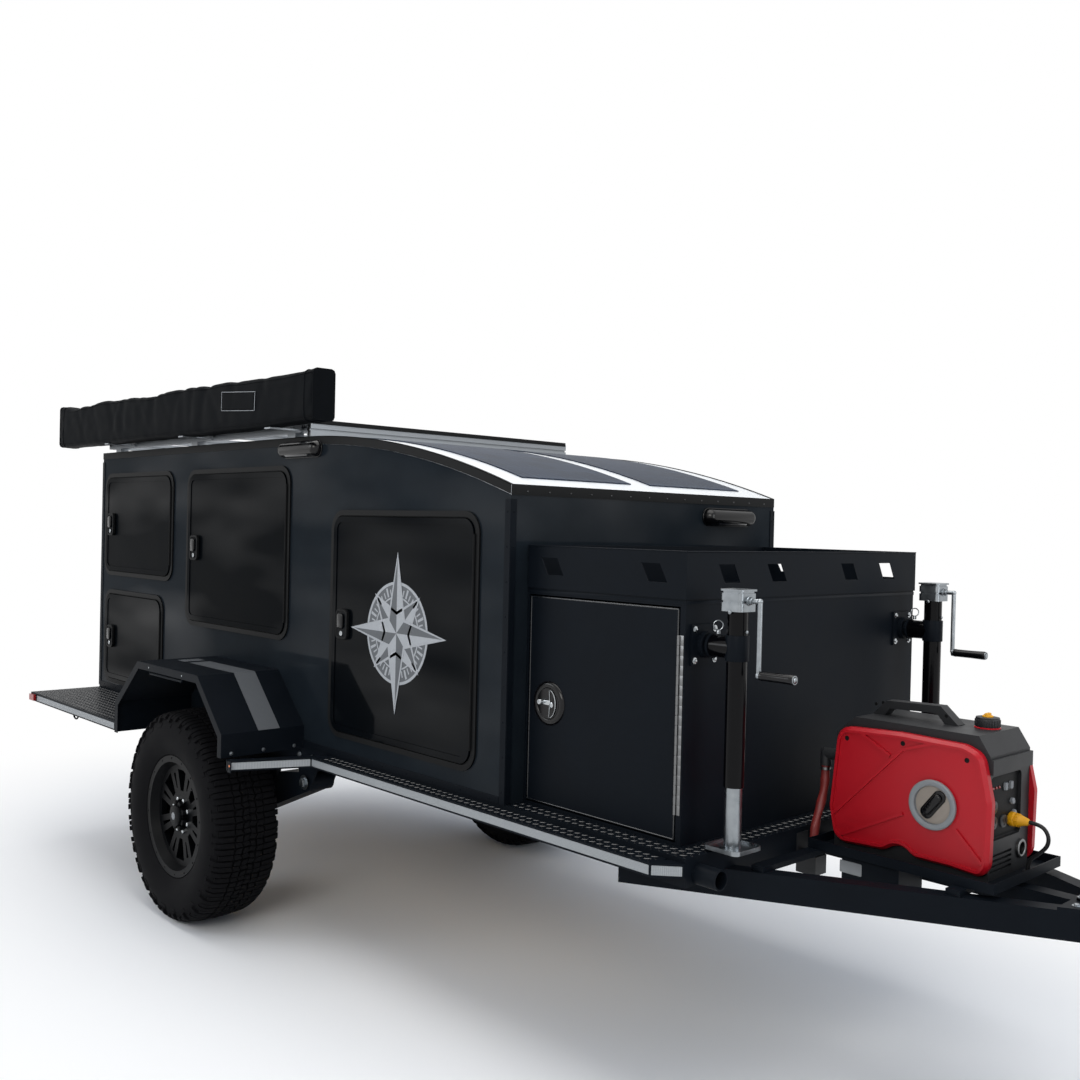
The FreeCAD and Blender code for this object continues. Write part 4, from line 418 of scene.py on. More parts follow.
def make_finishes(colours):
    """Make every material once, so that all pieces share them."""
    body = tuple(colours.body)
    door = tuple(colours.door)
    powder_coat = powder_coated_steel()
    FINISH.update({
        "black_powder_coat": powder_coat,
        "tread_plate": powder_coat,
        "burnished": burnished_enamel(),
        "body_grey": gloss_painted_panel("gloss_enamel_charcoal", body, linear("1D2328")),
        "door_black": gloss_painted_panel("gloss_enamel_black", door, linear("05080C")),
        "black_trim": moulded_rubber_trim(),
        "white_roof": coil_coated_roof(),
        "solar_cells": solar_cell_sheet(),
        "clear_anodised": clear_anodised_extrusion(),
        "zinc_plate": zinc_plated_steel(),
        "stainless": brushed_stainless(),
        "chrome": chromed_steel(),
        "tyre": tyre_rubber(),
        "wheel_black": cast_wheel_paint(),
        "coated_fabric": coated_bag_fabric(),
        "red_plastic": moulded_plastic("moulded_red_abs", tuple(colours.generator), 0.36),
        "dark_plastic": moulded_plastic("moulded_black_nylon", "1D1E20", 0.5, 1.2, 0.08),
        "yellow_plastic": moulded_plastic("moulded_yellow_nylon", "D89A12", 0.42),
        "grip_plastic": moulded_plastic("gloss_black_vinyl_grip", "08080A", 0.18, 3, 0.03, 0.04),
        "cable_rubber": moulded_plastic("extruded_pvc_jacket", "141415", 0.48, 1.5, 0.05),
        "grey_plastic": moulded_plastic("moulded_grey_abs", "7C7F81", 0.4),
        "lamp_lens": lens_plastic("frosted_polycarbonate", "1A1B1E"),
        "red_lens": lens_plastic("red_polycarbonate", "8E0B0E"),
        "amber": lens_plastic("amber_polycarbonate", "D86A10"),
        # Both reflective films have a painted glint: their first colour at the cells' middles, their second
        # towards the rims.
        "stripe": reflective_tape("grey_reflective_film", "6E7174", "56595C"),
        "cabin_board": sealed_plywood(),
        "tape": reflective_tape("prismatic_reflective_tape", "A4A8AA", "76797B"),
        "vinyl": grey_vinyl("cast_silver_vinyl", "A2A5A8", "8E9194", "B4B7BA"),
        "grey_film": grey_vinyl("cast_grey_vinyl", "585B5E", "4C4F52", "65686B"),
        "red_sleeve": sleeve_silicone(),
        "gloss_black": gloss_black_enamel(),
        "taupe_plastic": moulded_plastic("moulded_taupe_abs", "8E857B", 0.34),
        "socket_plastic": moulded_plastic("moulded_socket_nylon", "2A2C2F", 0.36),
    })
    slots = {row["node"]: row["material_slot"] for row in frame["record"]["subparts"]}
    for name, thing in frame["nodes"].items():
        thing.data.materials.clear()
        thing.data.materials.append(FINISH[slots[name]])
    for name in ("jack_tube_right", "jack_tube_left", "tongue_jack_tube"):
        frame["nodes"][name].data.materials[0] = FINISH["gloss_black"]


# Places, in millimetres where nothing else is said

def fore(x, y, z):
    """A point with x from the cabin's front wall."""
    return Vector((WALL_X + x * MM, y * MM, z * MM))


def moved(point, x, y, z):
    """A point moved along the trailer's axes."""
    return Vector(point) + Vector((x, y, z)) * MM


def seat(origin, out, up=UPWARD):
    """A place whose local Z points out of a surface and whose local Y points up along it."""
    z = Vector(out).normalized()
    y = Vector(up)
    y = (y - z * y.dot(z)).normalized()
    x = y.cross(z)
    return Matrix.Translation(Vector(origin)) @ Matrix((x, y, z)).transposed().to_4x4()


def shift(place, x, y, z=0.0):
    """A place moved along its own axes."""
    return place @ Matrix.Translation(Vector((x, y, z)) * MM)


def tilt(place, degrees, axis="Z"):
    """A place turned about one of its own axes."""
    return place @ Matrix.Rotation(math.radians(degrees), 4, axis)


def point_on(place, x, y, z=0.0):
    """A point given along a place's own axes."""
    return place @ (Vector((x, y, z)) * MM)


def spoke(place, angle):
    """The direction away from a place's axis at an angle."""
    return place.to_3x3() @ Vector((*polar(1, angle), 0))


def polar(radius, angle):
    return (radius * math.cos(angle), radius * math.sin(angle))


def turns(count, start=0.0):
    """Angles evenly spaced round a circle. The first lies a share of a step on."""
    return [2 * math.pi * (i + start) / count for i in range(count)]


def spread(first, last, count):
    """Numbers evenly spaced from the first to the last."""
    return [first + (last - first) * i / (count - 1) for i in range(count)]


# Outlines, as points in a plane

def circle(radius, sides):
    return [polar(radius, angle) for angle in turns(sides)]


def rounded_outline(wide, tall, radius, steps):
    """A rounded rectangle about the origin, anticlockwise."""
    points = []
    for quarter, (sx, sy) in enumerate(((1, 1), (-1, 1), (-1, -1), (1, -1))):
        for i in range(steps + 1):
            x, y = polar(radius, math.pi / 2 * (quarter + i / steps))
            points.append((sx * (wide / 2 - radius) + x, sy * (tall / 2 - radius) + y))
    return points


def inset(outline, amount):
    """Move an anticlockwise outline inwards along its corners' bisectors."""
    changed = []
    count = len(outline)
    for i, point in enumerate(outline):
        here = Vector(point)
        before = (here - Vector(outline[i - 1])).normalized()
        after = (Vector(outline[(i + 1) % count]) - here).normalized()
        normal = Vector((-(before.y + after.y), before.x + after.x))
        if normal.length < 1e-6:
            normal = Vector((-before.y, before.x))
        normal.normalize()
        share = max(0.4, normal.dot(Vector((-before.y, before.x))))
        changed.append(tuple(here + normal * (amount / share)))
    return changed


# Faces, as indexes of points

def ring_faces(count, rings, closed=False):
    """Quads between rings of points."""
    faces = []
    for r in range(rings if closed else rings - 1):
        for i in range(count):
            a, b = r * count + i, r * count + (i + 1) % count
            step = ((r + 1) % rings) * count
            faces.append((a, b, step + (i + 1) % count, step + i))
    return faces


def end_caps(count, rings):
    """The faces that close a skin of rings at both ends."""
    last = (rings - 1) * count
    return [tuple(reversed(range(count))), tuple(range(last, last + count))]


def grid_faces(across, along):
    """Quads of a grid whose points are laid out row by row."""
    wide = across + 1
    return [(j * wide + i, j * wide + i + 1, (j + 1) * wide + i + 1, (j + 1) * wide + i)
            for j in range(along) for i in range(across)]


def grid_edge(across, along):
    """The steps (i, j) round the edge of a grid."""
    return ([(i, 0) for i in range(across)] + [(across, j) for j in range(along)]
            + [(i, along) for i in range(across, 0, -1)] + [(0, j) for j in range(along, 0, -1)])


# Building meshes. Paths are in metres, and all that is local to a place is in millimetres

class Solid:
    """Points and faces that become one mesh."""

    def __init__(self):
        self.points = []
        self.faces = []

    def add(self, points, faces, place=None, unit=1.0):
        """Add points, in metres or in another unit, and the faces between them."""
        start = len(self.points)
        scaled = [Vector(p) * unit for p in points]
        self.points += [place @ p for p in scaled] if place else scaled
        self.faces += [tuple(start + i for i in face) for face in faces]

    def mirror(self):
        """Add the image across the trailer's centreline."""
        image = [Vector((p.x, -p.y, p.z)) for p in self.points]
        self.add(image, [tuple(reversed(face)) for face in self.faces])


def stack(solid, place, layers, capped=True, closed=False):
    """Join outlines, each with its height, into one skin."""
    points = [(x, y, z) for outline, z in layers for x, y in outline]
    count = len(layers[0][0])
    faces = ring_faces(count, len(layers), closed)
    if capped:
        faces += end_caps(count, len(layers))
    solid.add(points, faces, place, MM)


def lathe(solid, place, profile, sides=24, capped=True):
    """Turn a profile of (radius, height) about local Z, closed at its ends."""
    stack(solid, place, [(circle(radius, sides), height) for radius, height in profile], capped)


def lathe_band(solid, place, profile, sides=24):
    """Turn a profile about local Z and leave its ends open."""
    lathe(solid, place, profile, sides, False)


def plate(solid, place, outline, thick, edge=0.0, low=0.0):
    """Extrude an outline along local Z, with its outer edge eased."""
    layers = [(outline, low), (outline, low + thick - edge)]
    if edge > 0:
        layers.append((inset(outline, edge * 0.4), low + thick - edge * 0.3))
        layers.append((inset(outline, edge), low + thick))
    stack(solid, place, layers)


def slab(solid, place, size, corner, edge=0.0, steps=3):
    """A plate of (width, height, thickness) with rounded corners and an eased edge."""
    wide, tall, thick = size
    plate(solid, place, rounded_outline(wide, tall, corner, steps), thick, edge)


def block(solid, a, b, ease=0.6):
    """A block between two corners, given in metres, with slightly eased upright edges."""
    low = Vector(map(min, a, b))
    high = Vector(map(max, a, b))
    size = (high - low) / MM
    ease = min(ease, size.x * 0.3, size.y * 0.3)
    place = Matrix.Translation(((low.x + high.x) / 2, (low.y + high.y) / 2, low.z))
    slab(solid, place, size, ease, min(ease, size.z * 0.3), 1)


def sweep(solid, path, section, closed=False):
    """Carry a section of (side, up) points along a path without twist."""
    path = [Vector(p) for p in path]
    points = []
    tangent = (path[1] - path[0]).normalized()
    side = tangent.cross(Vector((0, 0, 1)))
    if side.length < 1e-3:
        side = tangent.cross(Vector((0, 1, 0)))
    side.normalize()
    for i, here in enumerate(path):
        before = path[i - 1] if i or closed else here
        after = path[(i + 1) % len(path)] if i + 1 < len(path) or closed else here
        tangent = (after - before).normalized()
        side = (side - tangent * side.dot(tangent)).normalized()
        up = side.cross(tangent)
        points += [here + (side * a + up * b) * MM for a, b in section]
    faces = ring_faces(len(section), len(path), closed)
    if not closed:
        faces += end_caps(len(section), len(path))
    solid.add(points, faces)


def tube(solid, path, radius, sides=12, closed=False):
    """A round bar along a path."""
    section = [(x, -y) for x, y in circle(radius, sides)]
    sweep(solid, path, section, closed)


def rim_bars(solid, path, radius, sides):
    """Round bars along the sides of a closed path, one for each side."""
    for ends in zip(path, path[1:] + path[:1]):
        tube(solid, ends, radius, sides)


def bolt(solid, origin, out, radius=5.0, height=4.0, washer=True):
    """A hexagon head on a washer."""
    place = seat(origin, out, (0.3, 0.2, 1))
    if washer:
        lathe(solid, place, [(radius * 1.7, 0), (radius * 1.7, 1), (radius, 1.2)], 18)
    plate(solid, place, circle(radius, 6), height, 0.6, 0.8)


def screw(solid, origin, out, radius=4.0, height=1.6):
    """A low domed screw head."""
    profile = [(1, 0), (0.92, 0.5), (0.6, 0.9), (0.35, 1), (0.3, 0.4)]
    lathe(solid, seat(origin, out), [(radius * r, height * z) for r, z in profile], 12)


def show(name, data):
    """Put a mesh, a curve, a camera or a lamp into the scene."""
    made = bpy.data.objects.new(name, data)
    bpy.context.scene.collection.objects.link(made)
    return made


def mesh_of(name, solid, outward=True):
    """A mesh of a solid's points and faces, whose faces are turned outwards unless told otherwise."""
    mesh = bpy.data.meshes.new(name)
    mesh.from_pydata([tuple(p) for p in solid.points], [], solid.faces)
    mesh.validate()
    if outward:
        shape = bmesh.new()
        shape.from_mesh(mesh)
        bmesh.ops.recalc_face_normals(shape, faces=shape.faces)
        shape.to_mesh(mesh)
        shape.free()
    return mesh


def piece(name, solid, finish, body="trailer", smooth=32, replaces=()):
    """Turn a solid into a named piece that rides on a body."""
    mesh = mesh_of(name, solid)
    mesh.shade_smooth()
    mesh.set_sharp_from_angle(angle=math.radians(smooth))
    mesh.materials.append(FINISH[finish])
    made = show(name, mesh)
    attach(made, body)
    if replaces:
        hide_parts(*replaces)
    return made


# The stage and the camera

def seen_directly(tree):
    """One for rays that come from the camera, from glass and from shiny surfaces."""
    path = add_node(tree, "ShaderNodeLightPath")
    clear = add_node(tree, "ShaderNodeMath", {"operation": "MAXIMUM"},
                     in_0=path.outputs["Is Camera Ray"], in_1=path.outputs["Is Transmission Ray"])
    shiny = add_node(tree, "ShaderNodeMath", {"operation": "MAXIMUM"},
                     in_0=clear.outputs[0], in_1=path.outputs["Is Glossy Ray"])
    return shiny.outputs[0]


def paper_floor():
    """White studio paper that keeps the trailer's shadow and turns plain white a few metres away."""
    made, tree, shader = new_material("pale_floor", "F4F4F3", 0.9, specular=0.1)
    where = add_node(tree, "ShaderNodeNewGeometry")
    flat = add_node(tree, "ShaderNodeVectorMath", {"operation": "MULTIPLY", 1: (0.55, 1.0, 0.0)},
                    in_0=where.outputs["Position"])
    away = add_node(tree, "ShaderNodeVectorMath", {"operation": "LENGTH"}, in_0=flat.outputs["Vector"])
    limits = {"interpolation_type": "SMOOTHSTEP", "From Min": 1.0, "From Max": 2.6}
    fade = add_node(tree, "ShaderNodeMapRange", limits, Value=away.outputs["Value"])
    direct = add_node(tree, "ShaderNodeMath", {"operation": "MULTIPLY"},
                      in_0=fade.outputs["Result"], in_1=seen_directly(tree))
    white = add_node(tree, "ShaderNodeEmission", {"Color": (1, 1, 1, 1), "Strength": 1.0})
    mix = add_node(tree, "ShaderNodeMixShader", in_0=direct.outputs[0], in_1=shader.outputs["BSDF"],
                   in_2=white.outputs["Emission"])
    tree.links.new(mix.outputs["Shader"], tree.nodes["Material Output"].inputs["Surface"])
    return made


def make_camera(scene):
    """The camera at the photograph's place."""
    turn, pitch, roll = (math.radians(v) for v in (CAMERA_TURN, CAMERA_PITCH, CAMERA_ROLL))
    ahead = Vector((-math.sin(turn) * math.cos(pitch), math.cos(turn) * math.cos(pitch), math.sin(pitch)))
    right = Vector((math.cos(turn), math.sin(turn), 0))
    up = right.cross(ahead)
    right, up = right * math.cos(roll) - up * math.sin(roll), right * math.sin(roll) + up * math.cos(roll)
    lens = bpy.data.cameras.new("camera")
    lens.lens = CAMERA_LENS
    lens.sensor_width = 36
    camera = show("camera", lens)
    turned = Matrix((right, up, -ahead)).transposed().to_4x4()
    camera.matrix_world = Matrix.Translation(CAMERA_PLACE) @ turned
    scene.camera = camera


def make_sky(scene):
    """A soft grey room that looks white wherever it is seen."""
    world = bpy.data.worlds.new("studio")
    scene.world = world
    world.use_nodes = True
    tree = world.node_tree
    where = add_node(tree, "ShaderNodeTexCoord")
    split = add_node(tree, "ShaderNodeSeparateXYZ", Vector=where.outputs["Generated"])
    limits = {"From Min": -0.1, "From Max": 0.8}
    height = add_node(tree, "ShaderNodeMapRange", limits, Value=split.outputs["Z"])
    shades = {"data_type": "RGBA", 6: (0.24, 0.27, 0.32, 1), 7: (0.48, 0.53, 0.62, 1)}
    sky = add_node(tree, "ShaderNodeMix", shades, in_0=height.outputs["Result"])
    shown = add_node(tree, "ShaderNodeMix", {"data_type": "RGBA", 7: (1, 1, 1, 1)},
                     in_0=seen_directly(tree), in_6=sky.outputs[2])
    tree.links.new(shown.outputs[2], tree.nodes["Background"].inputs["Color"])


def make_stage():
    """A pale floor, a soft studio and the camera."""
    scene = bpy.context.scene
    scene.view_settings.view_transform = "Standard"
    make_camera(scene)
    make_sky(scene)

    far = 40.0
    floor = bpy.data.meshes.new("floor")
    floor.from_pydata([(-far, -far, 0), (far, -far, 0), (far, far, 0), (-far, far, 0)], [], [(0, 1, 2, 3)])
    floor.materials.append(paper_floor())
    show("floor", floor)

    for name, place, turn, size, power, colour in LAMPS:
        lamp = bpy.data.lights.new(name, "AREA")
        lamp.shape = "RECTANGLE"
        lamp.size, lamp.size_y = size
        lamp.energy = power
        lamp.color = colour
        holder = show(name, lamp)
        holder.location = place
        holder.rotation_euler = Euler([math.radians(v) for v in turn])


# Cords

def route_curve(name, route, radius=0.0):
    """A smooth curve with the route's points as its control points."""
    data = bpy.data.curves.new(name, "CURVE")
    data.dimensions = "3D"
    spline = data.splines.new("NURBS")
    spline.points.add(len(route) - 1)
    for point, (x, y, z) in zip(spline.points, route):
        point.co = (WALL_X + x, y, z, 1)
    spline.order_u = 3
    spline.use_endpoint_u = True
    spline.resolution_u = 12
    data.bevel_depth = radius
    data.bevel_resolution = 5
    data.use_fill_caps = True
    return show(name, data)


def route_points(name, route):
    """The points of the route's smooth line."""
    guide = route_curve(name, route)
    mesh = bpy.data.meshes.new_from_object(guide)
    points = [v.co.copy() for v in mesh.vertices]
    bpy.data.objects.remove(guide)
    bpy.data.meshes.remove(mesh)
    return points


def spline_length(points):
    return sum((b - a).length for a, b in zip(points, points[1:]))


def resample(points, count):
    """Points evenly spaced along a line."""
    lengths = [0.0]
    for a, b in zip(points, points[1:]):
        lengths.append(lengths[-1] + (b - a).length)
    made = []
    index = 0
    for want in spread(0.0, lengths[-1], count):
        while index < len(points) - 2 and lengths[index + 1] < want:
            index += 1
        step = lengths[index + 1] - lengths[index]
        share = (want - lengths[index]) / step if step > 0 else 0
        made.append(points[index].lerp(points[index + 1], min(1.0, share)))
    return made


def make_plug():
    """The lead's plug, with ribs round its waist."""
    low, high = BOX["generator_plug"]
    middle = (low + high) / 2
    radius = (high.z - low.z) / 2 / MM
    length = (high.x - low.x) / MM
    waist = radius * 0.86
    place = seat((low.x, middle.y, middle.z), FORWARD)
    plug = Solid()
    lathe(plug, place, [(radius * 0.62, 0), (radius * 0.95, 1.5), (radius, 4), (radius, 14), (waist, 17),
                        (waist, 30), (radius * 0.74, 34), (radius * 0.5, length - 5),
                        (radius * 0.36, length)], 28)
    for angle in turns(10):
        root = point_on(place, *polar(waist - 1, angle), 23)
        slab(plug, seat(root, spoke(place, angle), FORWARD), (4, 12, 2.2), 1.5, 0.6)
    return piece("generator_plug_body", plug, "yellow_plastic", replaces=["generator_plug"])


def make_lead():
    """The generator's lead with its plug."""
    points = route_points("lead_guide", LEAD_ROUTE)
    lead = route_curve("generator_lead_cord", LEAD_ROUTE, LEAD_THICK / 2)
    lead.data.materials.append(FINISH["cable_rubber"])
    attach(lead, "trailer")
    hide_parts("generator_lead")
    plug = make_plug()


def make_sleeve():
    """The creased red sleeve behind the generator."""
    centre = route_points("sleeve_guide", CONDUIT_ROUTE)
    total = spline_length(centre)
    sides, steps = 20, 90
    fine = resample(centre, steps)
    points = []
    for here, run in zip(fine, spread(0.0, total, steps)):
        pinch = 1 - 0.10 * abs(math.sin(run * 55 + 0.8 * math.sin(run * 23)))
        for angle in turns(sides):
            crease = 1 + 0.09 * math.sin(2 * angle + run * 30) * math.sin(run * 40)
            lump = 0.05 * noise.noise(Vector((*polar(2, angle), run * 45)))
            radius = 13.4 * MM * pinch * (crease + lump)
            points.append(here + Vector((*polar(radius, angle), 0)))
    solid = Solid()
    solid.add(points, ring_faces(sides, steps) + end_caps(sides, steps))
    sleeve = piece("red_sleeve", solid, "red_sleeve", smooth=60, replaces=["sleeved_conduit"])


# Tyres, in millimetres

CROWN_HALF = 104
SHOULDER_HALF = 112
SIDEWALL_RADIUS = 150
CARCASS_THICK = 13

# Corners of the centre blocks, as (distance across, share of the pitch).
CENTRE_BLOCKS = (
    ((2, 0.02), (22, 0.10), (26, 0.52), (5, 0.44)),
    ((5, 0.50), (30, 0.60), (20, 0.92), (-4, 0.84)),
    ((29, 0.02), (55, 0.12), (58, 0.46), (32, 0.50)),
    ((36, 0.57), (60, 0.54), (56, 0.95), (27, 0.93)),
)


def tyre_line(depth):
    """Half of a tyre's outer line from the crown to the bead, as (distance out, radius)."""
    low, high = BOX["tyre_right"]
    radius = (high.z - low.z) / 2 / MM
    bulge = (high.y - low.y) / 2 / MM
    points = [(CROWN_HALF * i / 8, radius - depth - 6 * (i / 8) ** 2) for i in range(9)]
    points.append((SHOULDER_HALF, radius - depth * 0.9 - 11))
    for degrees in spread(30, -32, 17):
        out, up = polar(SIDEWALL_RADIUS, math.radians(degrees))
        points.append((bulge - SIDEWALL_RADIUS + out, radius - 100 + up))
    return points + [(bulge - 35.5, radius - 183.7), (bulge - 35.5, radius - 201.7)]


def along_line(line, want):
    """The point and the outward normal at a distance along a line."""
    sign = 1 if want >= 0 else -1
    left = abs(want)
    for (y0, r0), (y1, r1) in zip(line, line[1:]):
        run = math.hypot(y1 - y0, r1 - r0)
        if left <= run or (y1, r1) == line[-1]:
            share = left / run
            normal = (-(r1 - r0) / run, (y1 - y0) / run)
            return sign * (y0 + (y1 - y0) * share), r0 + (r1 - r0) * share, sign * normal[0], normal[1]
        left -= run
    return None


def tread_block(solid, place, line, corners, height, steps):
    """One rubber block over the tyre's line. Corners are (distance across, distance round)."""
    ease, spread_out, sink = 1.1, 0.7, 1.0
    across, along = steps
    middle = Vector((sum(c[0] for c in corners) / 4, sum(c[1] for c in corners) / 4))

    def spot(i, j, lift, inward):
        a = Vector(corners[0]).lerp(Vector(corners[1]), i / across)
        b = Vector(corners[3]).lerp(Vector(corners[2]), i / across)
        flat = a.lerp(b, j / along)
        if inward:
            flat += (middle - flat).normalized() * inward
        out, r, ny, nr = along_line(line, flat.x)
        angle = flat.y / line[0][1]
        return ((r + nr * lift) * math.sin(angle), out + ny * lift, (r + nr * lift) * math.cos(angle))

    points = [spot(i, j, height, ease) for j in range(along + 1) for i in range(across + 1)]
    faces = grid_faces(across, along)
    edge = grid_edge(across, along)
    rings = [[j * (across + 1) + i for i, j in edge]]
    for lift, inward in ((height - ease * 0.8, 0), (-sink, -spread_out)):
        rings.append(list(range(len(points), len(points) + len(edge))))
        points += [spot(i, j, lift, inward) for i, j in edge]
    for upper, lower in zip(rings, rings[1:]):
        for k in range(len(edge)):
            n = (k + 1) % len(edge)
            faces.append((upper[k], lower[k], lower[n], upper[n]))
    solid.add(points, faces, place, MM)


def tread_pattern(depth, long):
    """The blocks of one pitch on one side of the tyre: corners, height and steps of each."""
    rows = [(corners, depth, (3, 2)) for corners in CENTRE_BLOCKS]
    reach = 148 if long else 136
    near = reach - 16
    rows.append((((63, 0.08), (reach, 0.0), (reach, 0.40), (66, 0.44)), depth * 0.95, (8, 1)))
    rows.append((((64, 0.53), (near, 0.50), (near, 0.88), (60, 0.96)), depth * 0.85, (7, 1)))
    if long:
        rows.append((((152, -0.30), (168, -0.22), (168, 0.62), (152, 0.70)), 2.0, (2, 3)))
    return rows


def make_tyres(sizes):
    """All-terrain tyres: interlocking centre blocks, staggered shoulder blocks and side lugs."""
    depth = sizes.tread_depth / MM
    pitches = sizes.tread_pitches
    half = tyre_line(depth)
    pitch = 2 * math.pi * half[0][1] / pitches
    outside = [(-y, r) for y, r in reversed(half[1:])] + half
    inside = [(y * 0.86, max(r - CARCASS_THICK, half[-1][1])) for y, r in reversed(outside)]
    ring = outside + inside
    segments = 144
    for side in SIDES:
        low, high = BOX[f"tyre_{side}"]
        place = Matrix.Translation((low + high) / 2)
        points = []
        for angle in turns(segments):
            points += [(r * math.sin(angle), y, r * math.cos(angle)) for y, r in ring]
        solid = Solid()
        solid.add(points, ring_faces(len(ring), segments, True), place, MM)
        for index in range(pitches):
            for hand, start in ((1, 0.0), (-1, 0.5)):
                for corners, height, steps in tread_pattern(depth, index % 2):
                    shaped = [(a * hand, (index + b + start) * pitch) for a, b in corners]
                    tread_block(solid, place, half, shaped, height, steps)
        piece(f"tyre_tread_{side}", solid, "tyre", f"{side}_wheel", smooth=38, replaces=[f"tyre_{side}"])


# Wheels, in millimetres from the wheel's middle

HUB_FACE = 104
HUB_NOTCHES = 51
NUT_CIRCLE = 67
RIM_FACE = 118
RIM_RIVETS = 236
VALVE_ANGLE = 0.72


def wheel_point(centre, sign, radius, out, angle):
    """A point on a wheel, at a radius and at a distance out from its middle."""
    x, z = polar(radius, angle)
    return moved(centre, x, sign * out, z)


def make_wheel_fittings():
    """Wheel nuts in their wells, the notched hub cap and a valve on each wheel."""
    for side, sign in SIDES.items():
        body = f"{side}_wheel"
        low, high = BOX[f"tyre_{side}"]
        centre = (low + high) / 2
        out = (0, sign, 0)
        place = seat(moved(centre, 0, sign * HUB_FACE, 0), out)
        cap = Solid()
        lathe(cap, place, [(45, -8), (45, 4), (43, 8), (36, 11), (20, 12.5), (6, 13)], 48)
        for angle in turns(8, 0.5):
            spot = point_on(place, *polar(HUB_NOTCHES, angle), -22)
            slab(cap, seat(spot, out, spoke(place, angle)), (22, 19, 22), 5, 3, 4)
        piece(f"hub_cap_{side}", cap, "wheel_black", body, smooth=35)

        disc = Solid()
        lathe(disc, shift(place, 0, 0, 12.2), [(15, 0), (15, 0.9), (13.4, 1.4), (4, 1.7)], 32)
        piece(f"hub_cap_disc_{side}", disc, "grey_plastic", body)

        nuts = Solid()
        for angle in turns(8, 0.5):
            well = point_on(place, *polar(NUT_CIRCLE, angle), -25)
            lathe(nuts, seat(well, out), [(11, -1), (11, 1), (9.5, 9), (7, 11), (3, 12)], 6)
        piece(f"wheel_nuts_{side}", nuts, "chrome", body)

        rivets = Solid()
        for angle in turns(16, 0.25):
            screw(rivets, wheel_point(centre, sign, RIM_RIVETS, RIM_FACE, angle), out, 4, 1.8)
        piece(f"rim_bolts_{side}", rivets, "wheel_black", body)

        valve = Solid()
        x, z = polar(-0.3, VALVE_ANGLE)
        place = seat(wheel_point(centre, sign, 214, 84, VALVE_ANGLE), (x, sign, z))
        lathe(valve, place, [(5.5, -4), (5, 6), (3.4, 10), (3.4, 24), (4.2, 24.5), (4, 33)], 16)
        piece(f"tyre_valve_{side}", valve, "cable_rubber", body)


# Awning bag

BAG_SEED = 7
BAG_STEPS = 132
BAG_FRAMES = 26
BAG_CORNER = 15 * MM
# The bag's usual width and height, and the distance between its points, set the points of each section.
BAG_SIZE = (93 * MM, 208 * MM)
BAG_GRID = 17 * MM
END_RINGS = (0.82, 0.6, 0.36, 0.14)


def bag_section(low, high):
    """A rounded section (y, z) of the bag, starting at the top of its inner face."""
    shape = rounded_outline(high.y - low.y, high.z - low.z, BAG_CORNER, 2)
    usual = rounded_outline(*BAG_SIZE, BAG_CORNER, 2)
    points = []
    for i, point in enumerate(shape):
        after = (i + 1) % len(shape)
        cuts = max(1, round((Vector(usual[after]) - Vector(usual[i])).length / BAG_GRID))
        points += [Vector(point).lerp(Vector(shape[after]), k / cuts) for k in range(cuts)]
    return [((low.y + high.y) / 2 + p.x, (low.z + high.z) / 2 + p.y) for p in points]


def ramp(share, start, run):
    """Zero up to a start, then rising to one over a run."""
    return min(1.0, max(0.0, (share - start) / run))


def bag_shape(low, high, swell, grow):
    """A function that gives the bag's section at any x, swollen by what lies in it."""
    def section(x):
        share = (x - low.x) / (high.x - low.x)
        bulk = sum(size * MM * math.exp(-((share - at) / wide) ** 2) for at, wide, size in swell)
        tight = min(1.0, min(share, 1 - share) * 12)
        lift = 9 * MM * ramp(share, 0.8, 0.15)
        fall = 13 * MM * ramp(share, 0.72, 0.25)
        top = min(high.z - 2 * MM, high.z - (2 + 10 * tight) * MM + bulk * tight) - fall
        a = Vector((0, low.y + 1 * MM - grow, low.z + 2.5 * MM - grow + lift))
        b = Vector((0, high.y - 1 * MM + grow, top + grow))
        return bag_section(a, b)
    return section


def tube_mesh(solid, xs, section_at):
    """A closed tube of sections along X whose ends are filled by shrinking rings."""
    sections = [section_at(x) for x in xs]
    count = len(sections[0])
    points = [(x, y, z) for x, shape in zip(xs, sections) for y, z in shape]
    faces = ring_faces(count, len(xs))
    for index in (0, len(xs) - 1):
        x, shape = xs[index], sections[index]
        y_mid = sum(y for y, z in shape) / count
        z_mid = sum(z for y, z in shape) / count
        previous = index * count
        for share in END_RINGS:
            start = len(points)
            points += [(x, y_mid + (y - y_mid) * share, z_mid + (z - z_mid) * share) for y, z in shape]
            faces += [(previous + i, previous + (i + 1) % count, start + (i + 1) % count, start + i)
                      for i in range(count)]
            previous = start
        hub = len(points)
        points.append((x, y_mid, z_mid))
        faces += [(previous + i, previous + (i + 1) % count, hub) for i in range(count)]
    solid.add(points, faces)
    return count


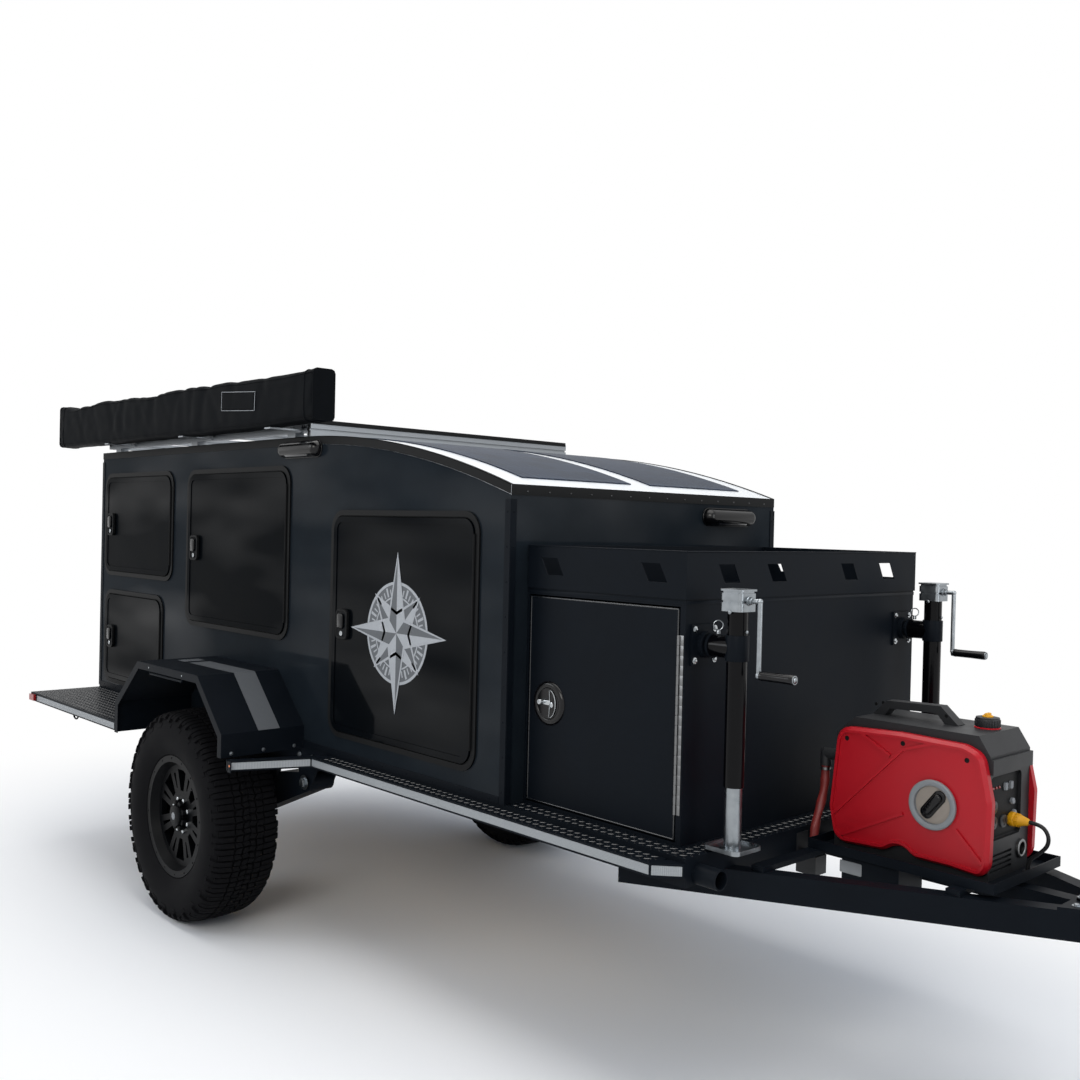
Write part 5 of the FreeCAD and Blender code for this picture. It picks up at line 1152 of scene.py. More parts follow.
def simulate_cloth(thing, pinned, load, slack, frames):
    """Let a mesh settle over its load as slack cloth, and keep the result."""
    scene = bpy.context.scene
    group = thing.vertex_groups.new(name="pinned")
    group.add(pinned, 1.0, "REPLACE")
    load.modifiers.new("collision", "COLLISION")
    load.collision.thickness_outer = 2 * MM
    load.collision.cloth_friction = 12
    cloth = thing.modifiers.new("cloth", "CLOTH")
    settings = cloth.settings
    settings.quality = 7
    settings.mass = 0.25
    settings.tension_stiffness = 22
    settings.compression_stiffness = 22
    settings.shear_stiffness = 8
    settings.bending_stiffness = 4.0
    settings.vertex_group_mass = "pinned"
    settings.shrink_min = -slack
    cloth.collision_settings.distance_min = 2 * MM
    cloth.collision_settings.use_self_collision = False
    cloth.point_cache.frame_start = 1
    cloth.point_cache.frame_end = frames
    for frame_number in range(1, frames + 1):
        scene.frame_set(frame_number)
    graph = bpy.context.evaluated_depsgraph_get()
    settled = bpy.data.meshes.new_from_object(thing.evaluated_get(graph))
    thing.modifiers.remove(cloth)
    old = thing.data
    thing.data = settled
    bpy.data.meshes.remove(old)
    scene.frame_set(1)
    bpy.data.objects.remove(load)


def relax_cloth(mesh, rings, count):
    """Even out the small creases of the settled tube along X, so that only its broad folds stay."""
    spots = [v.co.copy() for v in mesh.vertices]
    for _ in range(5):
        eased = list(spots)
        for ring in range(2, rings - 2):
            first = ring * count
            for here in range(first + 1, first + count):
                along = (spots[here - count] + spots[here + count]) / 2
                eased[here] = spots[here].lerp(along, 0.5)
            # The row at the top of the inner face is eased less, and to its four neighbours.
            around = (spots[first - count] + spots[first + count] + spots[first + 1]
                      + spots[first + count - 1]) / 4
            eased[first] = spots[first].lerp(around, 0.2)
        spots = eased
    for v, spot in zip(mesh.vertices, spots):
        v.co = spot


def draw_rows(count, *ranges):
    """Rows of random numbers, one number from each range."""
    return [tuple(random.uniform(*limits) for limits in ranges) for _ in range(count)]


def settle_bag(low, high, swell, slack):
    """The bag's cloth settled over its load, its points before that and their number in a ring."""
    load = Solid()
    xs = spread(low.x + 6 * MM, high.x - 6 * MM, 81)
    tube_mesh(load, xs, bag_shape(low, high, swell, -4 * MM))
    core = show("awning_load", mesh_of("awning_load", load, outward=False))

    cloth = Solid()
    xs = spread(low.x + 1 * MM, high.x - 1 * MM, BAG_STEPS + 1)
    count = tube_mesh(cloth, xs, bag_shape(low, high, swell, 0.0))
    cover = show("awning_cover", mesh_of("awning_cover", cloth))
    rest = [v.co.copy() for v in cover.data.vertices]
    ends = (BAG_STEPS + 1) * count
    pinned = [i for i, p in enumerate(rest) if p.y > high.y - 4 * MM or i >= ends
              or abs(p.x - high.x) < 3 * MM or abs(p.x - low.x) < 3 * MM]
    simulate_cloth(cover, pinned, core, slack, BAG_FRAMES)
    relax_cloth(cover.data, BAG_STEPS + 1, count)
    return cover, rest, count


def fold_bag(mesh, rest, low, high):
    """Press broad slanting folds into the cloth's outer face, and keep all of it near its first place."""
    folds = draw_rows(26, (0.03, 0.97), (-0.9, 0.5), (15, 34), (3, 8))
    inner_face = high.y - 20 * MM
    reach = 20 * MM
    length, tall = high.x - low.x, high.z - low.z
    for v, start in zip(mesh.vertices, rest):
        share = (start.x - low.x) / length
        quiet = min(1.0, min(share, 1 - share) * 14)
        height = (start.z - low.z) / tall
        if start.y > inner_face:
            continue
        for at, slant, wide, deep in folds:
            off = (share - at) * length - slant * (height - 1) * tall
            fold = deep * MM * math.exp(-(off / (wide * MM)) ** 2) * (0.25 + 0.75 * height) * quiet
            v.co.y += fold * 0.8
            v.co.z -= fold * (0.7 if height > 0.9 else 0)
    for v, start in zip(mesh.vertices, rest):
        drift = v.co - start
        if drift.length > reach:
            v.co = start + drift.normalized() * reach
        v.co.z = min(v.co.z, high.z)


def make_bag_ends(points, count):
    """Flat panels over the bag's ends."""
    panels = Solid()
    for index, hand in ((0, -1), (BAG_STEPS, 1)):
        hoop = points[index * count:(index + 1) * count]
        middle = sum(hoop, Vector()) / count
        ring = [Vector((middle.x, p.y, p.z)) + (p - middle).normalized() * 0.4 * MM for p in hoop]
        outer = [moved(p, hand * 1.4, 0, 0) for p in ring]
        panels.add(ring + outer, ring_faces(count, 2) + end_caps(count, 2)[::-1])
    piece("bag_end_panels", panels, "coated_fabric", smooth=30)


def make_bag_seams(points, count, low, high):
    """Piped seams round the bag's ends and along its outer face."""
    seams = Solid()
    for index in (0, 3, BAG_STEPS - 3, BAG_STEPS):
        hoop = points[index * count:(index + 1) * count]
        middle = sum(hoop, Vector()) / count
        path = [p + (p - middle).normalized() * 0.2 * MM for p in hoop]
        tube(seams, path, 2.2, 6, closed=True)
    outer_face = low.y + 20 * MM
    for height in (low.z + 24 * MM, high.z - 24 * MM):
        nearest = min((k for k in range(count) if points[k].y < outer_face),
                      key=lambda k: abs(points[k].z - height))
        tube(seams, [points[i * count + nearest] for i in range(BAG_STEPS + 1)], 1.5, 6)
    piece("bag_seams", seams, "coated_fabric", smooth=60)


def make_bag_patch(points, low):
    """A blank cloth patch with a thin woven border, where the bag's printed patch would be."""
    corners = [(-1655, 2176), (-1377, 2158), (-1374, 2083), (-1652, 2099)]
    across, along = 16, 6
    outer = [p for p in points if p.y < low.y + 30 * MM]

    def on_bag(i, j, lift):
        s, t = i / across, j / along
        x = (corners[0][0] + (corners[1][0] - corners[0][0]) * s) * MM + WALL_X
        top = corners[0][1] + (corners[1][1] - corners[0][1]) * s
        bottom = corners[3][1] + (corners[2][1] - corners[3][1]) * s
        z = (top + (bottom - top) * t) * MM
        near = sorted(outer, key=lambda p: (p.x - x) ** 2 + (p.z - z) ** 2)[:6]
        return (x, min(p.y for p in near) - lift * MM, z)

    patch = Solid()
    sheet = [on_bag(i, j, 1.6) for j in range(along + 1) for i in range(across + 1)]
    patch.add(sheet, grid_faces(across, along))
    border = Solid()
    tube(border, [on_bag(i, j, 1.8) for i, j in grid_edge(across, along)], 1.1, 6, closed=True)
    back = piece("bag_patch", patch, "coated_fabric")
    thick = back.modifiers.new("thick", "SOLIDIFY")
    thick.thickness = 1.2 * MM
    piece("bag_patch_border", border, "vinyl")


def make_awning_bag(sizes):
    """The awning's long bag: slack coated cloth over the rolled awning, with its end panels and seams."""
    low, high = BOX["awning_bag"]
    random.seed(BAG_SEED)
    swell = draw_rows(15, (0, 1), (0.02, 0.06), (-8, 7))
    cover, rest, count = settle_bag(low, high, swell, sizes.bag_slack)
    fold_bag(cover.data, rest, low, high)
    cover.data.shade_smooth()
    soften = cover.modifiers.new("soften", "SUBSURF")
    soften.levels = soften.render_levels = 1
    cover.data.materials.clear()
    cover.data.materials.append(FINISH["coated_fabric"])
    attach(cover, "trailer")
    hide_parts("awning_bag")

    points = [v.co.copy() for v in cover.data.vertices[:(BAG_STEPS + 1) * count]]
    make_bag_ends(points, count)
    make_bag_seams(points, count, low, high)
    make_bag_patch(points, low)


# Trims, seals and fastenings of the cabin

ROOF_BEND = -395 * MM
ROOF_RADIUS = 3950 * MM
ROOF_STEP = 60 * MM


def roof_line():
    """Points (x, z) along the roof's top edge, from the rear to the nose."""
    low, high = BOX["roof"]
    flat = max(1, round((ROOF_BEND - low.x) / ROOF_STEP))
    points = [(low.x + (ROOF_BEND - low.x) * i / flat, high.z) for i in range(flat)]
    centre = high.z - ROOF_RADIUS
    for x in spread(ROOF_BEND, high.x, 25):
        points.append((x, centre + math.sqrt(ROOF_RADIUS ** 2 - (x - ROOF_BEND) ** 2)))
    return points


def strip_along(solid, line, y, inner, outer, low, high):
    """A strip along an (x, z) line. Its sides are given in millimetres from y and from the line."""
    section = [(inner, low), (outer, low), (outer, high), (inner, high)]
    points = []
    for x, z in line:
        points += [(x, y + a * MM, z + b * MM) for a, b in section]
    solid.add(points, ring_faces(4, len(line)) + end_caps(4, len(line)))


def make_roof_trims():
    """Black edge trims round the roof and the screws of its end trims."""
    low, high = BOX["roof"]
    half = high.y
    line = roof_line()
    over, proud = 2.4, 2.6
    nose_top = 1780 * MM
    drip, pins = Solid(), Solid()
    strip_along(drip, line, -half, -proud, 9, -0.2, over)
    strip_along(drip, line, -half, -proud, -0.1, -30, over)
    drip.mirror()
    for x, z, hand in ((high.x, nose_top, 1), (low.x, high.z, -1)):
        edge = Vector((x, -half, z))
        other = Vector((x, half, z))
        block(drip, moved(edge, 0, 1, -32), moved(other, hand * proud, -1, over))
        block(drip, moved(edge, hand * -6, 1, 0), moved(other, 0, -1, over))
        for k in range(14):
            y = (-1 + 2 * (k + 0.5) / 14) * (half - 20 * MM)
            screw(pins, moved((x, y, z), hand * proud, 0, -20), (hand, 0, 0), 3.4)
    piece("roof_edge_trims", drip, "black_trim", smooth=30)
    piece("roof_edge_screws", pins, "burnished", smooth=40)


def make_wall_angles():
    """Angles on the cabin's corners and along its sills, with their screws."""
    half = BOX["roof"][1].y
    low, high = BOX["wall_right"]
    bottom = low.z + 1 * MM
    leg, thick, reach = 24, 3, 12
    angles, screws = Solid(), Solid()
    for sign in (-1, 1):
        y = sign * half
        out = (0, sign, 0)
        for x, hand, top in ((high.x, 1, 1734 * MM), (low.x, -1, 1937 * MM)):
            foot, head = Vector((x, y, bottom)), Vector((x, y, top))
            block(angles, moved(foot, -hand * leg, 0, 0), moved(head, hand * thick, sign * thick, 0))
            block(angles, moved(foot, 0, -sign * leg, 0), moved(head, hand * thick, 0, 0))
            for z in spread(bottom + 40 * MM, top - 40 * MM, 9):
                screw(screws, moved((x, y, z), -hand * reach, sign * thick, 0), out, 3.2)
                if hand < 0 or z > 1480 * MM:
                    screw(screws, moved((x, y, z), hand * thick, -sign * reach, 0), (hand, 0, 0), 3.2)
        block(angles, (low.x + 26 * MM, y, bottom), moved((high.x, y, low.z), -26, sign * thick, leg))
        for x in spread(low.x + 70 * MM, high.x - 70 * MM, 22):
            screw(screws, moved((x, y, low.z), 0, sign * thick, reach), out, 3.2)
    piece("corner_and_sill_angles", angles, "black_powder_coat", smooth=20)
    piece("trim_screws", screws, "black_powder_coat", smooth=40)


def paddle_latch(name, body, place):
    """A recessed paddle latch with a raised bezel, a finger bar and a key lock."""
    bezel = Solid()
    rim = rounded_outline(76, 114, 20, 6)
    steps = ((0, -9), (0, 0), (2, 2), (8, 2), (10, 0.2))
    stack(bezel, place, [(inset(rim, amount), height) for amount, height in steps], capped=False)
    piece(f"{name}_bezel", bezel, "black_trim", body, smooth=40)
    paddle = Solid()
    slab(paddle, tilt(shift(place, -4, 12, 0.2), -4, "Y"), (40, 58, 6.5), 12, 2.4, 6)
    slab(paddle, shift(place, -4, 34), (34, 10, 3.4), 4, 1.2, 4)
    piece(f"{name}_paddle", paddle, "grip_plastic", body, smooth=40)
    lock = Solid()
    lathe(lock, shift(place, 2, -34),
          [(9.5, 0), (9.5, 2.6), (8.4, 3.4), (6.6, 3.4), (6.4, 2.4), (1.5, 2.4)], 28)
    slab(lock, shift(place, 2, -34, 2.3), (1.4, 7, 0.6), 0.5, steps=2)
    piece(f"{name}_lock", lock, "chrome", body)


def make_seal(name, place, wide, tall):
    """A round rubber seal in the gap round a leaf whose width and height are given in metres."""
    outline = rounded_outline(wide / MM + 5, tall / MM + 5, 52.5, 10)
    seal = Solid()
    tube(seal, [point_on(place, x, y) for x, y in outline], 1.9, 8, closed=True)
    piece(name, seal, "black_trim", smooth=60)


def make_door_fittings():
    """Paddle latches with locks, and the rubber seals between the leaves and their frames."""
    latch_level, seal_level = 722 * MM, 702.5 * MM
    for side, sign in SIDES.items():
        out = (0, sign, 0)
        for name in ("front", "mid", "upper", "lower"):
            low, high = BOX[f"door_{name}_{side}"]
            middle = (low + high) / 2
            place = seat((low.x + 79 * MM, sign * latch_level, middle.z), out)
            paddle_latch(f"{name}_{side}_latch", f"{side}_{name}_door", place)
            place = seat((middle.x, sign * seal_level, middle.z), out)
            make_seal(f"{name}_seal_{side}", place, high.x - low.x, high.z - low.z)
    low, high = BOX["rear_hatch"]
    paddle_latch("hatch_latch", "rear_hatch", seat((low.x, 0, low.z + 98 * MM), BACKWARD, (0, 1, 0)))
    place = seat((WALL_X - 3277.5 * MM, 0, (low.z + high.z) / 2), BACKWARD)
    make_seal("hatch_seal", place, high.y - low.y, high.z - low.z)


def area(points):
    return sum(a[0] * b[1] - b[0] * a[1] for a, b in zip(points, points[1:] + points[:1])) / 2


def ring_plate(solid, place, inner, outer, thick):
    """A flat ring."""
    near, far = circle(inner, 64), circle(outer, 64)
    stack(solid, place, [(near, 0), (far, 0), (far, thick), (near, thick)], capped=False, closed=True)


def compass_rose(light, dark, place, radius):
    """An eight-point compass rose over a ring with a band of ticks, in two greys of thin film."""
    film = 0.5

    def fan(solid, points, low=0.0):
        shape = points[::-1] if area(points) < 0 else points
        plate(solid, shift(place, 0, 0, low), shape, film)

    for turn in (1, 3, 5, 7, 0, 2, 4, 6):
        long = turn % 2 == 0
        angle = math.pi / 2 + math.pi * turn / 4
        reach, root = (radius, radius * 0.25) if long else (radius * 0.66, radius * 0.27)
        low = film * (2 if long else 1)
        tip = polar(reach, angle)
        for hand, solid in ((-1, light), (1, dark)):
            flank = angle + hand * math.pi / 4
            fan(solid, [(0, 0), polar(root, flank), tip], low)
            edge = [tip, polar(root, flank), polar(root * 0.84, flank), polar(reach * 0.93, angle)]
            fan(light, edge, low + film)
    for inner, outer, solid in ((0.30, 0.60, dark), (0.60, 0.635, light), (0.435, 0.455, light)):
        ring_plate(solid, place, radius * inner, radius * outer, film * (0.8 if solid is dark else 1.2))
    for tick, angle in enumerate(turns(48)):
        wide, top = (0.018, radius * 0.55) if tick % 3 else (0.03, radius * 0.585)
        root = radius * 0.47
        fan(light, [polar(root, angle - wide), polar(root, angle + wide), polar(top, angle + wide),
                    polar(top, angle - wide)], film)


def make_badges():
    """A generic compass rose of silver and grey film on both front doors."""
    panel_face, radius = 709.2, 288
    for side, sign in SIDES.items():
        light, dark = Solid(), Solid()
        compass_rose(light, dark, seat(fore(-588, sign * panel_face, 1259), (0, sign, 0)), radius)
        door = f"{side}_front_door"
        piece(f"compass_rose_{side}", light, "vinyl", door, smooth=20)
        piece(f"compass_rose_shade_{side}", dark, "grey_film", door, smooth=20)


# Porch lights and markers

# How far each layer of a porch light's hood is set in, and its height.
HOOD_LAYERS = ((0, 0), (0, 8), (1.5, 16), (5, 26), (10, 34), (17, 39), (24, 40.5))


def make_porch_lights():
    """Porch lights with black hoods over frosted lenses."""
    spots = [((-411 * MM, sign * 700 * MM, 1935 * MM), (0, sign, 0)) for sign in (-1, 1)]
    spots.append((fore(0, 400, 1701), FORWARD))
    hoods, lenses = Solid(), Solid()
    wide, tall = 290, 64
    base = rounded_outline(wide, tall, 30, 10)
    for origin, out in spots:
        place = seat(origin, out)
        stack(hoods, place, [(inset(base, amount), height) for amount, height in HOOD_LAYERS])
        slab(hoods, place, (wide + 5, tall + 5, 5), 32, 1.5, 10)
        slab(lenses, shift(tilt(shift(place, 0, 0, 10), 16, "X"), 0, -13), (176, 25, 29), 11, 5, 8)
    piece("porch_light_hoods", hoods, "grip_plastic", smooth=40,
          replaces=["porch_lights"])
    piece("porch_light_lenses", lenses, "lamp_lens", smooth=40)


def make_lights():
    """The porch lights, chromed rims round the rear lamps, and side markers."""
    make_porch_lights()
    rims = Solid()
    panel_x, lamp_y, lamp_z = -2421, 590, 722
    shape = rounded_outline(168, 62, 29, 10)
    inner = inset(shape, 4.2)
    layers = [(shape, 0), (shape, 12), (inset(shape, 2), 14), (inner, 12), (inner, 0)]
    for sign in (-1, 1):
        place = seat(Vector((panel_x, sign * lamp_y, lamp_z)) * MM, BACKWARD)
        stack(rims, place, layers, capped=False, closed=True)
    piece("tail_lamp_rims", rims, "chrome", smooth=40)

    amber, housing = Solid(), Solid()
    for sign in (-1, 1):
        place = seat(fore(-1159, sign * 1053.5, 731), (0, sign, 0))
        slab(housing, shift(place, 14, 0, -2.2), (26, 42, 2.4), 4, 0.6, 4)
        lathe(amber, shift(place, 14, 4, -0.2), [(8, -1.5), (7.5, 0.2), (2, 0.6)], 20)
    piece("marker_plates", housing, "black_powder_coat")
    piece("amber_markers", amber, "amber")


# Fenders, step bars and tread plate

# The fender's top from the rear bend to the front bend and down its front slope, as (x, z).
FENDER_LINE = ((-1975, 1040), (-1419, 1040), (-1212, 841))
RAIL_LINE = ((-1860, 1018), (-1852, 1000), (-1560, 1000), (-1552, 1018))
STRIPE_MIDDLE = 853


def make_fender_fittings():
    """Reflective stripes, the small rail under the outer lip and the flange bolts."""
    stripes, bolts, rails = Solid(), Solid(), Solid()
    rear, bend, foot = (fore(x, 0, z) for x, z in FENDER_LINE)
    for sign in (-1, 1):
        for a, b, start, stop in ((rear, bend, 0.1, 0.22), (rear, bend, 0.30, 1.0), (bend, foot, 0.0, 1.0)):
            p, q = a.lerp(b, start), a.lerp(b, stop)
            along = (q - p).normalized()
            out = Vector((-along.z, 0, along.x))
            place = shift(seat(moved((p + q) / 2, 0, sign * STRIPE_MIDDLE, 0), out, (0, 1, 0)), 0, 0, 0.1)
            slab(stripes, place, ((q - p).length / MM - 1, 92, 0.7), 1, steps=1)
        for share in (0.12, 0.5, 0.88):
            bolt(bolts, fore(-1212, sign * (700 + 354 * share), 766), FORWARD, 4.5, 4)
        tube(rails, [fore(x, sign * 1050, z) for x, z in RAIL_LINE], 4.5, 10)
        for x in (-1860, -1552):
            bolt(bolts, fore(x, sign * 1053.4, 1024), (0, sign, 0), 4, 1, False)
    piece("fender_stripes", stripes, "stripe")
    piece("fender_bolts", bolts, "zinc_plate", smooth=40)
    piece("fender_rails", rails, "black_powder_coat", smooth=50)


def diamonds(solid, xs, ys, z, pitch, skip=None):
    """Raised lens-shaped diamonds in alternate directions, over a flat stretch between xs and ys."""
    long, wide, rise = 11.5 * MM, 3.6 * MM, 1.3 * MM
    base, top = [], []
    for c, s in circle(1, 8):
        base.append((long * c, wide * s * (1 - 0.25 * abs(c)), 0.0))
        top.append((long * 0.72 * c, wide * 0.5 * s, rise))
    faces = ring_faces(8, 2) + end_caps(8, 2)[1:]
    rows = int((xs[1] - xs[0] - long) / (pitch / 2))
    columns = int((ys[1] - ys[0] - long) / (pitch / 2))
    for i in range(rows + 1):
        for j in range(i % 2, columns + 1, 2):
            x = (xs[0] + xs[1]) / 2 + (i - rows / 2) * pitch / 2
            y = (ys[0] + ys[1]) / 2 + (j - columns / 2) * pitch / 2
            if not (skip and skip(x, y)):
                place = tilt(Matrix.Translation((x, y, z)), 45 if i % 2 else -45)
                solid.add(base + top, faces, place)


def make_tread_plate(sizes):
    """Raised diamonds on the platforms, the front deck and the step bars' ledges."""
    raised = Solid()
    low, high = BOX["side_platforms"]
    box_high = BOX["tongue_box"][1]
    deck_low, deck_high = BOX["front_deck"]
    pitch = sizes.diamond_pitch
    for sign in (-1, 1):
        ys = sorted((sign * 703 * MM, sign * 1051 * MM))
        diamonds(raised, (low.x + 3 * MM, high.x - 3 * MM), ys, high.z, pitch)
        ledge = sorted((sign * 703 * MM, sign * 764 * MM))
        diamonds(raised, (WALL_X - 1000 * MM, WALL_X + 672 * MM), ledge, 750 * MM, pitch)

    def under_box(x, y):
        return x < box_high.x + 9 * MM and abs(y) < box_high.y + 7 * MM

    diamonds(raised, (deck_low.x + 2 * MM, deck_high.x - 2 * MM),
             (deck_low.y + 3 * MM, deck_high.y - 3 * MM), deck_high.z, pitch, under_box)
    piece("tread_plate_diamonds", raised, "burnished", smooth=25)


def make_edge_tape():
    """Silver tape along the outer edges of the step bars and of the platforms."""
    tape = Solid()
    low, high = BOX["side_platforms"]
    level, wide, gap = 731, 26, 4
    flank, outer = 768, 1054

    def band_between(a, b):
        run = (b - a).normalized()
        out = Vector((run.y, -run.x, 0))
        if abs(out.y) > 0.3:
            turned = out.y * (a.y + b.y) < 0
        else:
            turned = out.x * (a.x + b.x) < 0
        place = shift(seat((a + b) / 2, -out if turned else out), 0, 0, 0.1)
        slab(tape, place, ((b - a).length / MM - 2 * gap, wide, 0.6), 1, steps=1)

    for sign in (-1, 1):
        nose = fore(745, sign * 707, level)
        bevel = fore(678, sign * flank, level)
        root = fore(-1040, sign * flank, level)
        tip = fore(-1160, sign * outer, level)
        rear = Vector((low.x, sign * outer * MM, level * MM))
        band_between(bevel, root)
        band_between(root, tip)
        band_between(nose, bevel)
        band_between(moved(rear, 84, 0, 0), Vector((high.x, rear.y, rear.z)))
        band_between(rear, Vector((low.x, sign * 700 * MM, rear.z)))
    piece("edge_tape", tape, "tape")


# Tongue box

def make_piano_hinges():
    """Piano hinges of the box's doors, knuckle by knuckle."""
    hinge = Solid()
    low, high = BOX["box_hinges"]
    case_face = BOX["tongue_box"][1].y
    radius, knuckles = 4.2, 18
    axis = moved((low.x, high.y, 0), radius, -radius, 0)
    step = (high.z - low.z) / knuckles
    length = step / MM
    for index in range(knuckles):
        start = low.z + step * index
        place = Matrix.Translation((axis.x, axis.y, start))
        lathe(hinge, place, [(radius * 0.86, 0.5), (radius, 1.1), (radius, length - 1.1),
                             (radius * 0.86, length - 0.5)], 16)
        lathe(hinge, place, [(radius * 0.6, 0), (radius * 0.6, length)], 8)
        root = axis.x + (0 if index % 2 else radius * 1.2 * MM)
        block(hinge, moved((root, case_face, start), 0, -0.2, 0.5),
              moved((high.x, case_face, start + step), 0, 1.7, 0.1), 0.3)
    hinge.mirror()
    piece("piano_hinges", hinge, "stainless", smooth=30, replaces=["box_hinges"])


def make_box_hems():
    """Folded hems of the box's case and of its basket's rim."""
    hems = Solid()
    low, high = BOX["tongue_box"]
    lip = 1.6
    for sign in (-1, 1):
        block(hems, moved((low.x, sign * high.y, high.z), 0, 0, -15),
              moved((high.x, sign * high.y, high.z), lip, sign * lip, -4))
    block(hems, moved((high.x, -high.y, high.z), 0, 0, -15), moved(high, lip, 0, -4))
    low, high = BOX["box_basket"]
    corners = ((low.x, -high.y), (high.x, -high.y), (high.x, high.y), (low.x, high.y))
    path = [Vector((x * 0.9992 + 0.001, y * 0.9985, high.z - 1.2 * MM)) for x, y in corners]
    rim_bars(hems, path, 2.2, 12)
    piece("box_hems", hems, "black_powder_coat", smooth=40)


def paddle_arc(radius):
    """An arc of the round paddle's outline."""
    turned = [math.radians(degrees) for degrees in spread(-74, 74, 17)]
    return [(radius * math.cos(angle) + 6, 44 * math.sin(angle)) for angle in turned]


def make_box_latch(side, body, place):
    """A round paddle latch in a black bezel, with its steel edge, key lock and finger plate."""
    bezel = Solid()
    lathe_band(bezel, place,
               [(70, 0), (69.5, 2), (64, 7), (60, 8), (52, 8), (49, 6.8), (48, 5.3), (0.3, 5.2)], 56)
    piece(f"box_latch_bezel_{side}", bezel, "grip_plastic", body, smooth=40)
    paddle = Solid()
    plate(paddle, shift(place, 0, 0, 5.2), paddle_arc(30) + paddle_arc(2)[::-1], 3, 1)
    piece(f"box_latch_paddle_{side}", paddle, "grip_plastic", body, smooth=40)
    steel = Solid()
    for radius, thick in ((30, 1.5), (4, 1.1)):
        tube(steel, [point_on(place, x, y, 8) for x, y in paddle_arc(radius)], thick, 8)
    lathe(steel, shift(place, 20, -2, 8.2), [(8, 0), (8, 2), (6.4, 2.6), (6, 1.2)], 24)
    lathe(steel, shift(place, -24, 4, 5), [(9, 0), (9, 15), (7.4, 17), (5.4, 17), (5, 15.4)], 28)
    slab(steel, shift(place, -24, 4, 15.4), (1.6, 7, 1.4), 0.5, steps=2)
    slab(steel, shift(place, -4, 3, 5), (34, 15, 5), 3, 1)
    piece(f"box_latch_steel_{side}", steel, "chrome", body, smooth=40)


def make_box_fittings():
    """Piano hinges, hems, door edges and latches of the tongue box."""
    make_piano_hinges()
    make_box_hems()
    inner, near = 2.6 * MM, 1.6 * MM
    for side, sign in SIDES.items():
        body = f"{side}_box_door"
        low, high = BOX[f"box_door_{side}"]
        face = sign * BOX["tongue_box"][1].y
        corners = ((low.x + inner, low.z + inner), (high.x - inner, low.z + inner),
                   (high.x - inner, high.z - inner), (low.x + inner, high.z - inner))
        edges = Solid()
        rim_bars(edges, [Vector((x, face - sign * near, z)) for x, z in corners], 2.8, 14)
        piece(f"box_door_edges_{side}", edges, "burnished", body, smooth=50)
        make_box_latch(side, body, seat((WALL_X + 114 * MM, face, 1094 * MM), (0, sign, 0)))


# Jacks and hitch

GRIP = [(9, 0), (12.6, 1), (13.4, 5), (12.6, 13), (12.7, 60), (13.6, 96), (13.8, 104), (12.8, 109),
        (9, 111.4), (4, 111.4)]
CLAMP = [(29, 0), (32.6, 0.8), (33, 2), (33, 70), (32.6, 71.2), (29, 72)]
CLAMP_RING = [(24.5, 0.4), (34.5, 0.4), (35.5, 1.4), (35.5, 7), (34.5, 8), (31, 8)]


def jack_dressing(name, body, head):
    """The crank's grip with its steel end, the shaft's collar and the rivets and bolt of the head."""
    grip = Solid()
    lathe_band(grip, seat(moved(head, 80, 0, -200), FORWARD), GRIP, 32)
    piece(f"{name}_grip", grip, "grip_plastic", body, smooth=40)
    steel = Solid()
    lathe(steel, seat(moved(head, 191, 0, -200), FORWARD), [(7.5, 0), (7.5, 0.8), (5, 1.8), (2, 2.2)], 20)
    collar = [(14, -0.4), (14, 2), (11, 3), (10.5, 11), (9, 12)]
    lathe(steel, seat(moved(head, 37, 0, 0), FORWARD), collar, 24)
    for hand in (-1, 1):
        lathe(steel, seat(moved(head, 0, hand * 37, -32), (0, hand, 0)), [(6, 0), (5.6, 1.6), (3, 2.8)], 18)
    bolt(steel, moved(head, 29, 0, -86), FORWARD, 5, 4, False)
    piece(f"{name}_steel", steel, "zinc_plate", body, smooth=40)


def make_jack_clamp(side, body, tube_axis, pivot):
    """The collar round a corner jack's tube and the ring that turns on the bracket's pipe."""
    clamp = Solid()
    lathe_band(clamp, Matrix.Translation(moved(tube_axis, 0, 0, -36)), CLAMP, 40)
    lathe_band(clamp, seat(moved(pivot, 31.2, 0, 0), FORWARD), CLAMP_RING, 40)
    piece(f"jack_clamp_{side}", clamp, "black_powder_coat", body, smooth=40)


def make_pull_pin(side, body, pivot):
    """The head of the pin that locks a corner jack's swivel, with its pull ring."""
    pin = Solid()
    axis = moved(pivot, 52, 0, 0)
    lathe(pin, Matrix.Translation(moved(axis, 0, 0, 34)), [(6, 0), (6, 9), (4.6, 11)], 20)
    ring = seat(moved(axis, 0, 0, 58), (0.75, -0.65, 0))
    tube(pin, [point_on(ring, x, y) for x, y in circle(13.5, 28)], 1.9, 8, closed=True)
    piece(f"jack_pull_pin_{side}", pin, "zinc_plate", body, smooth=40)


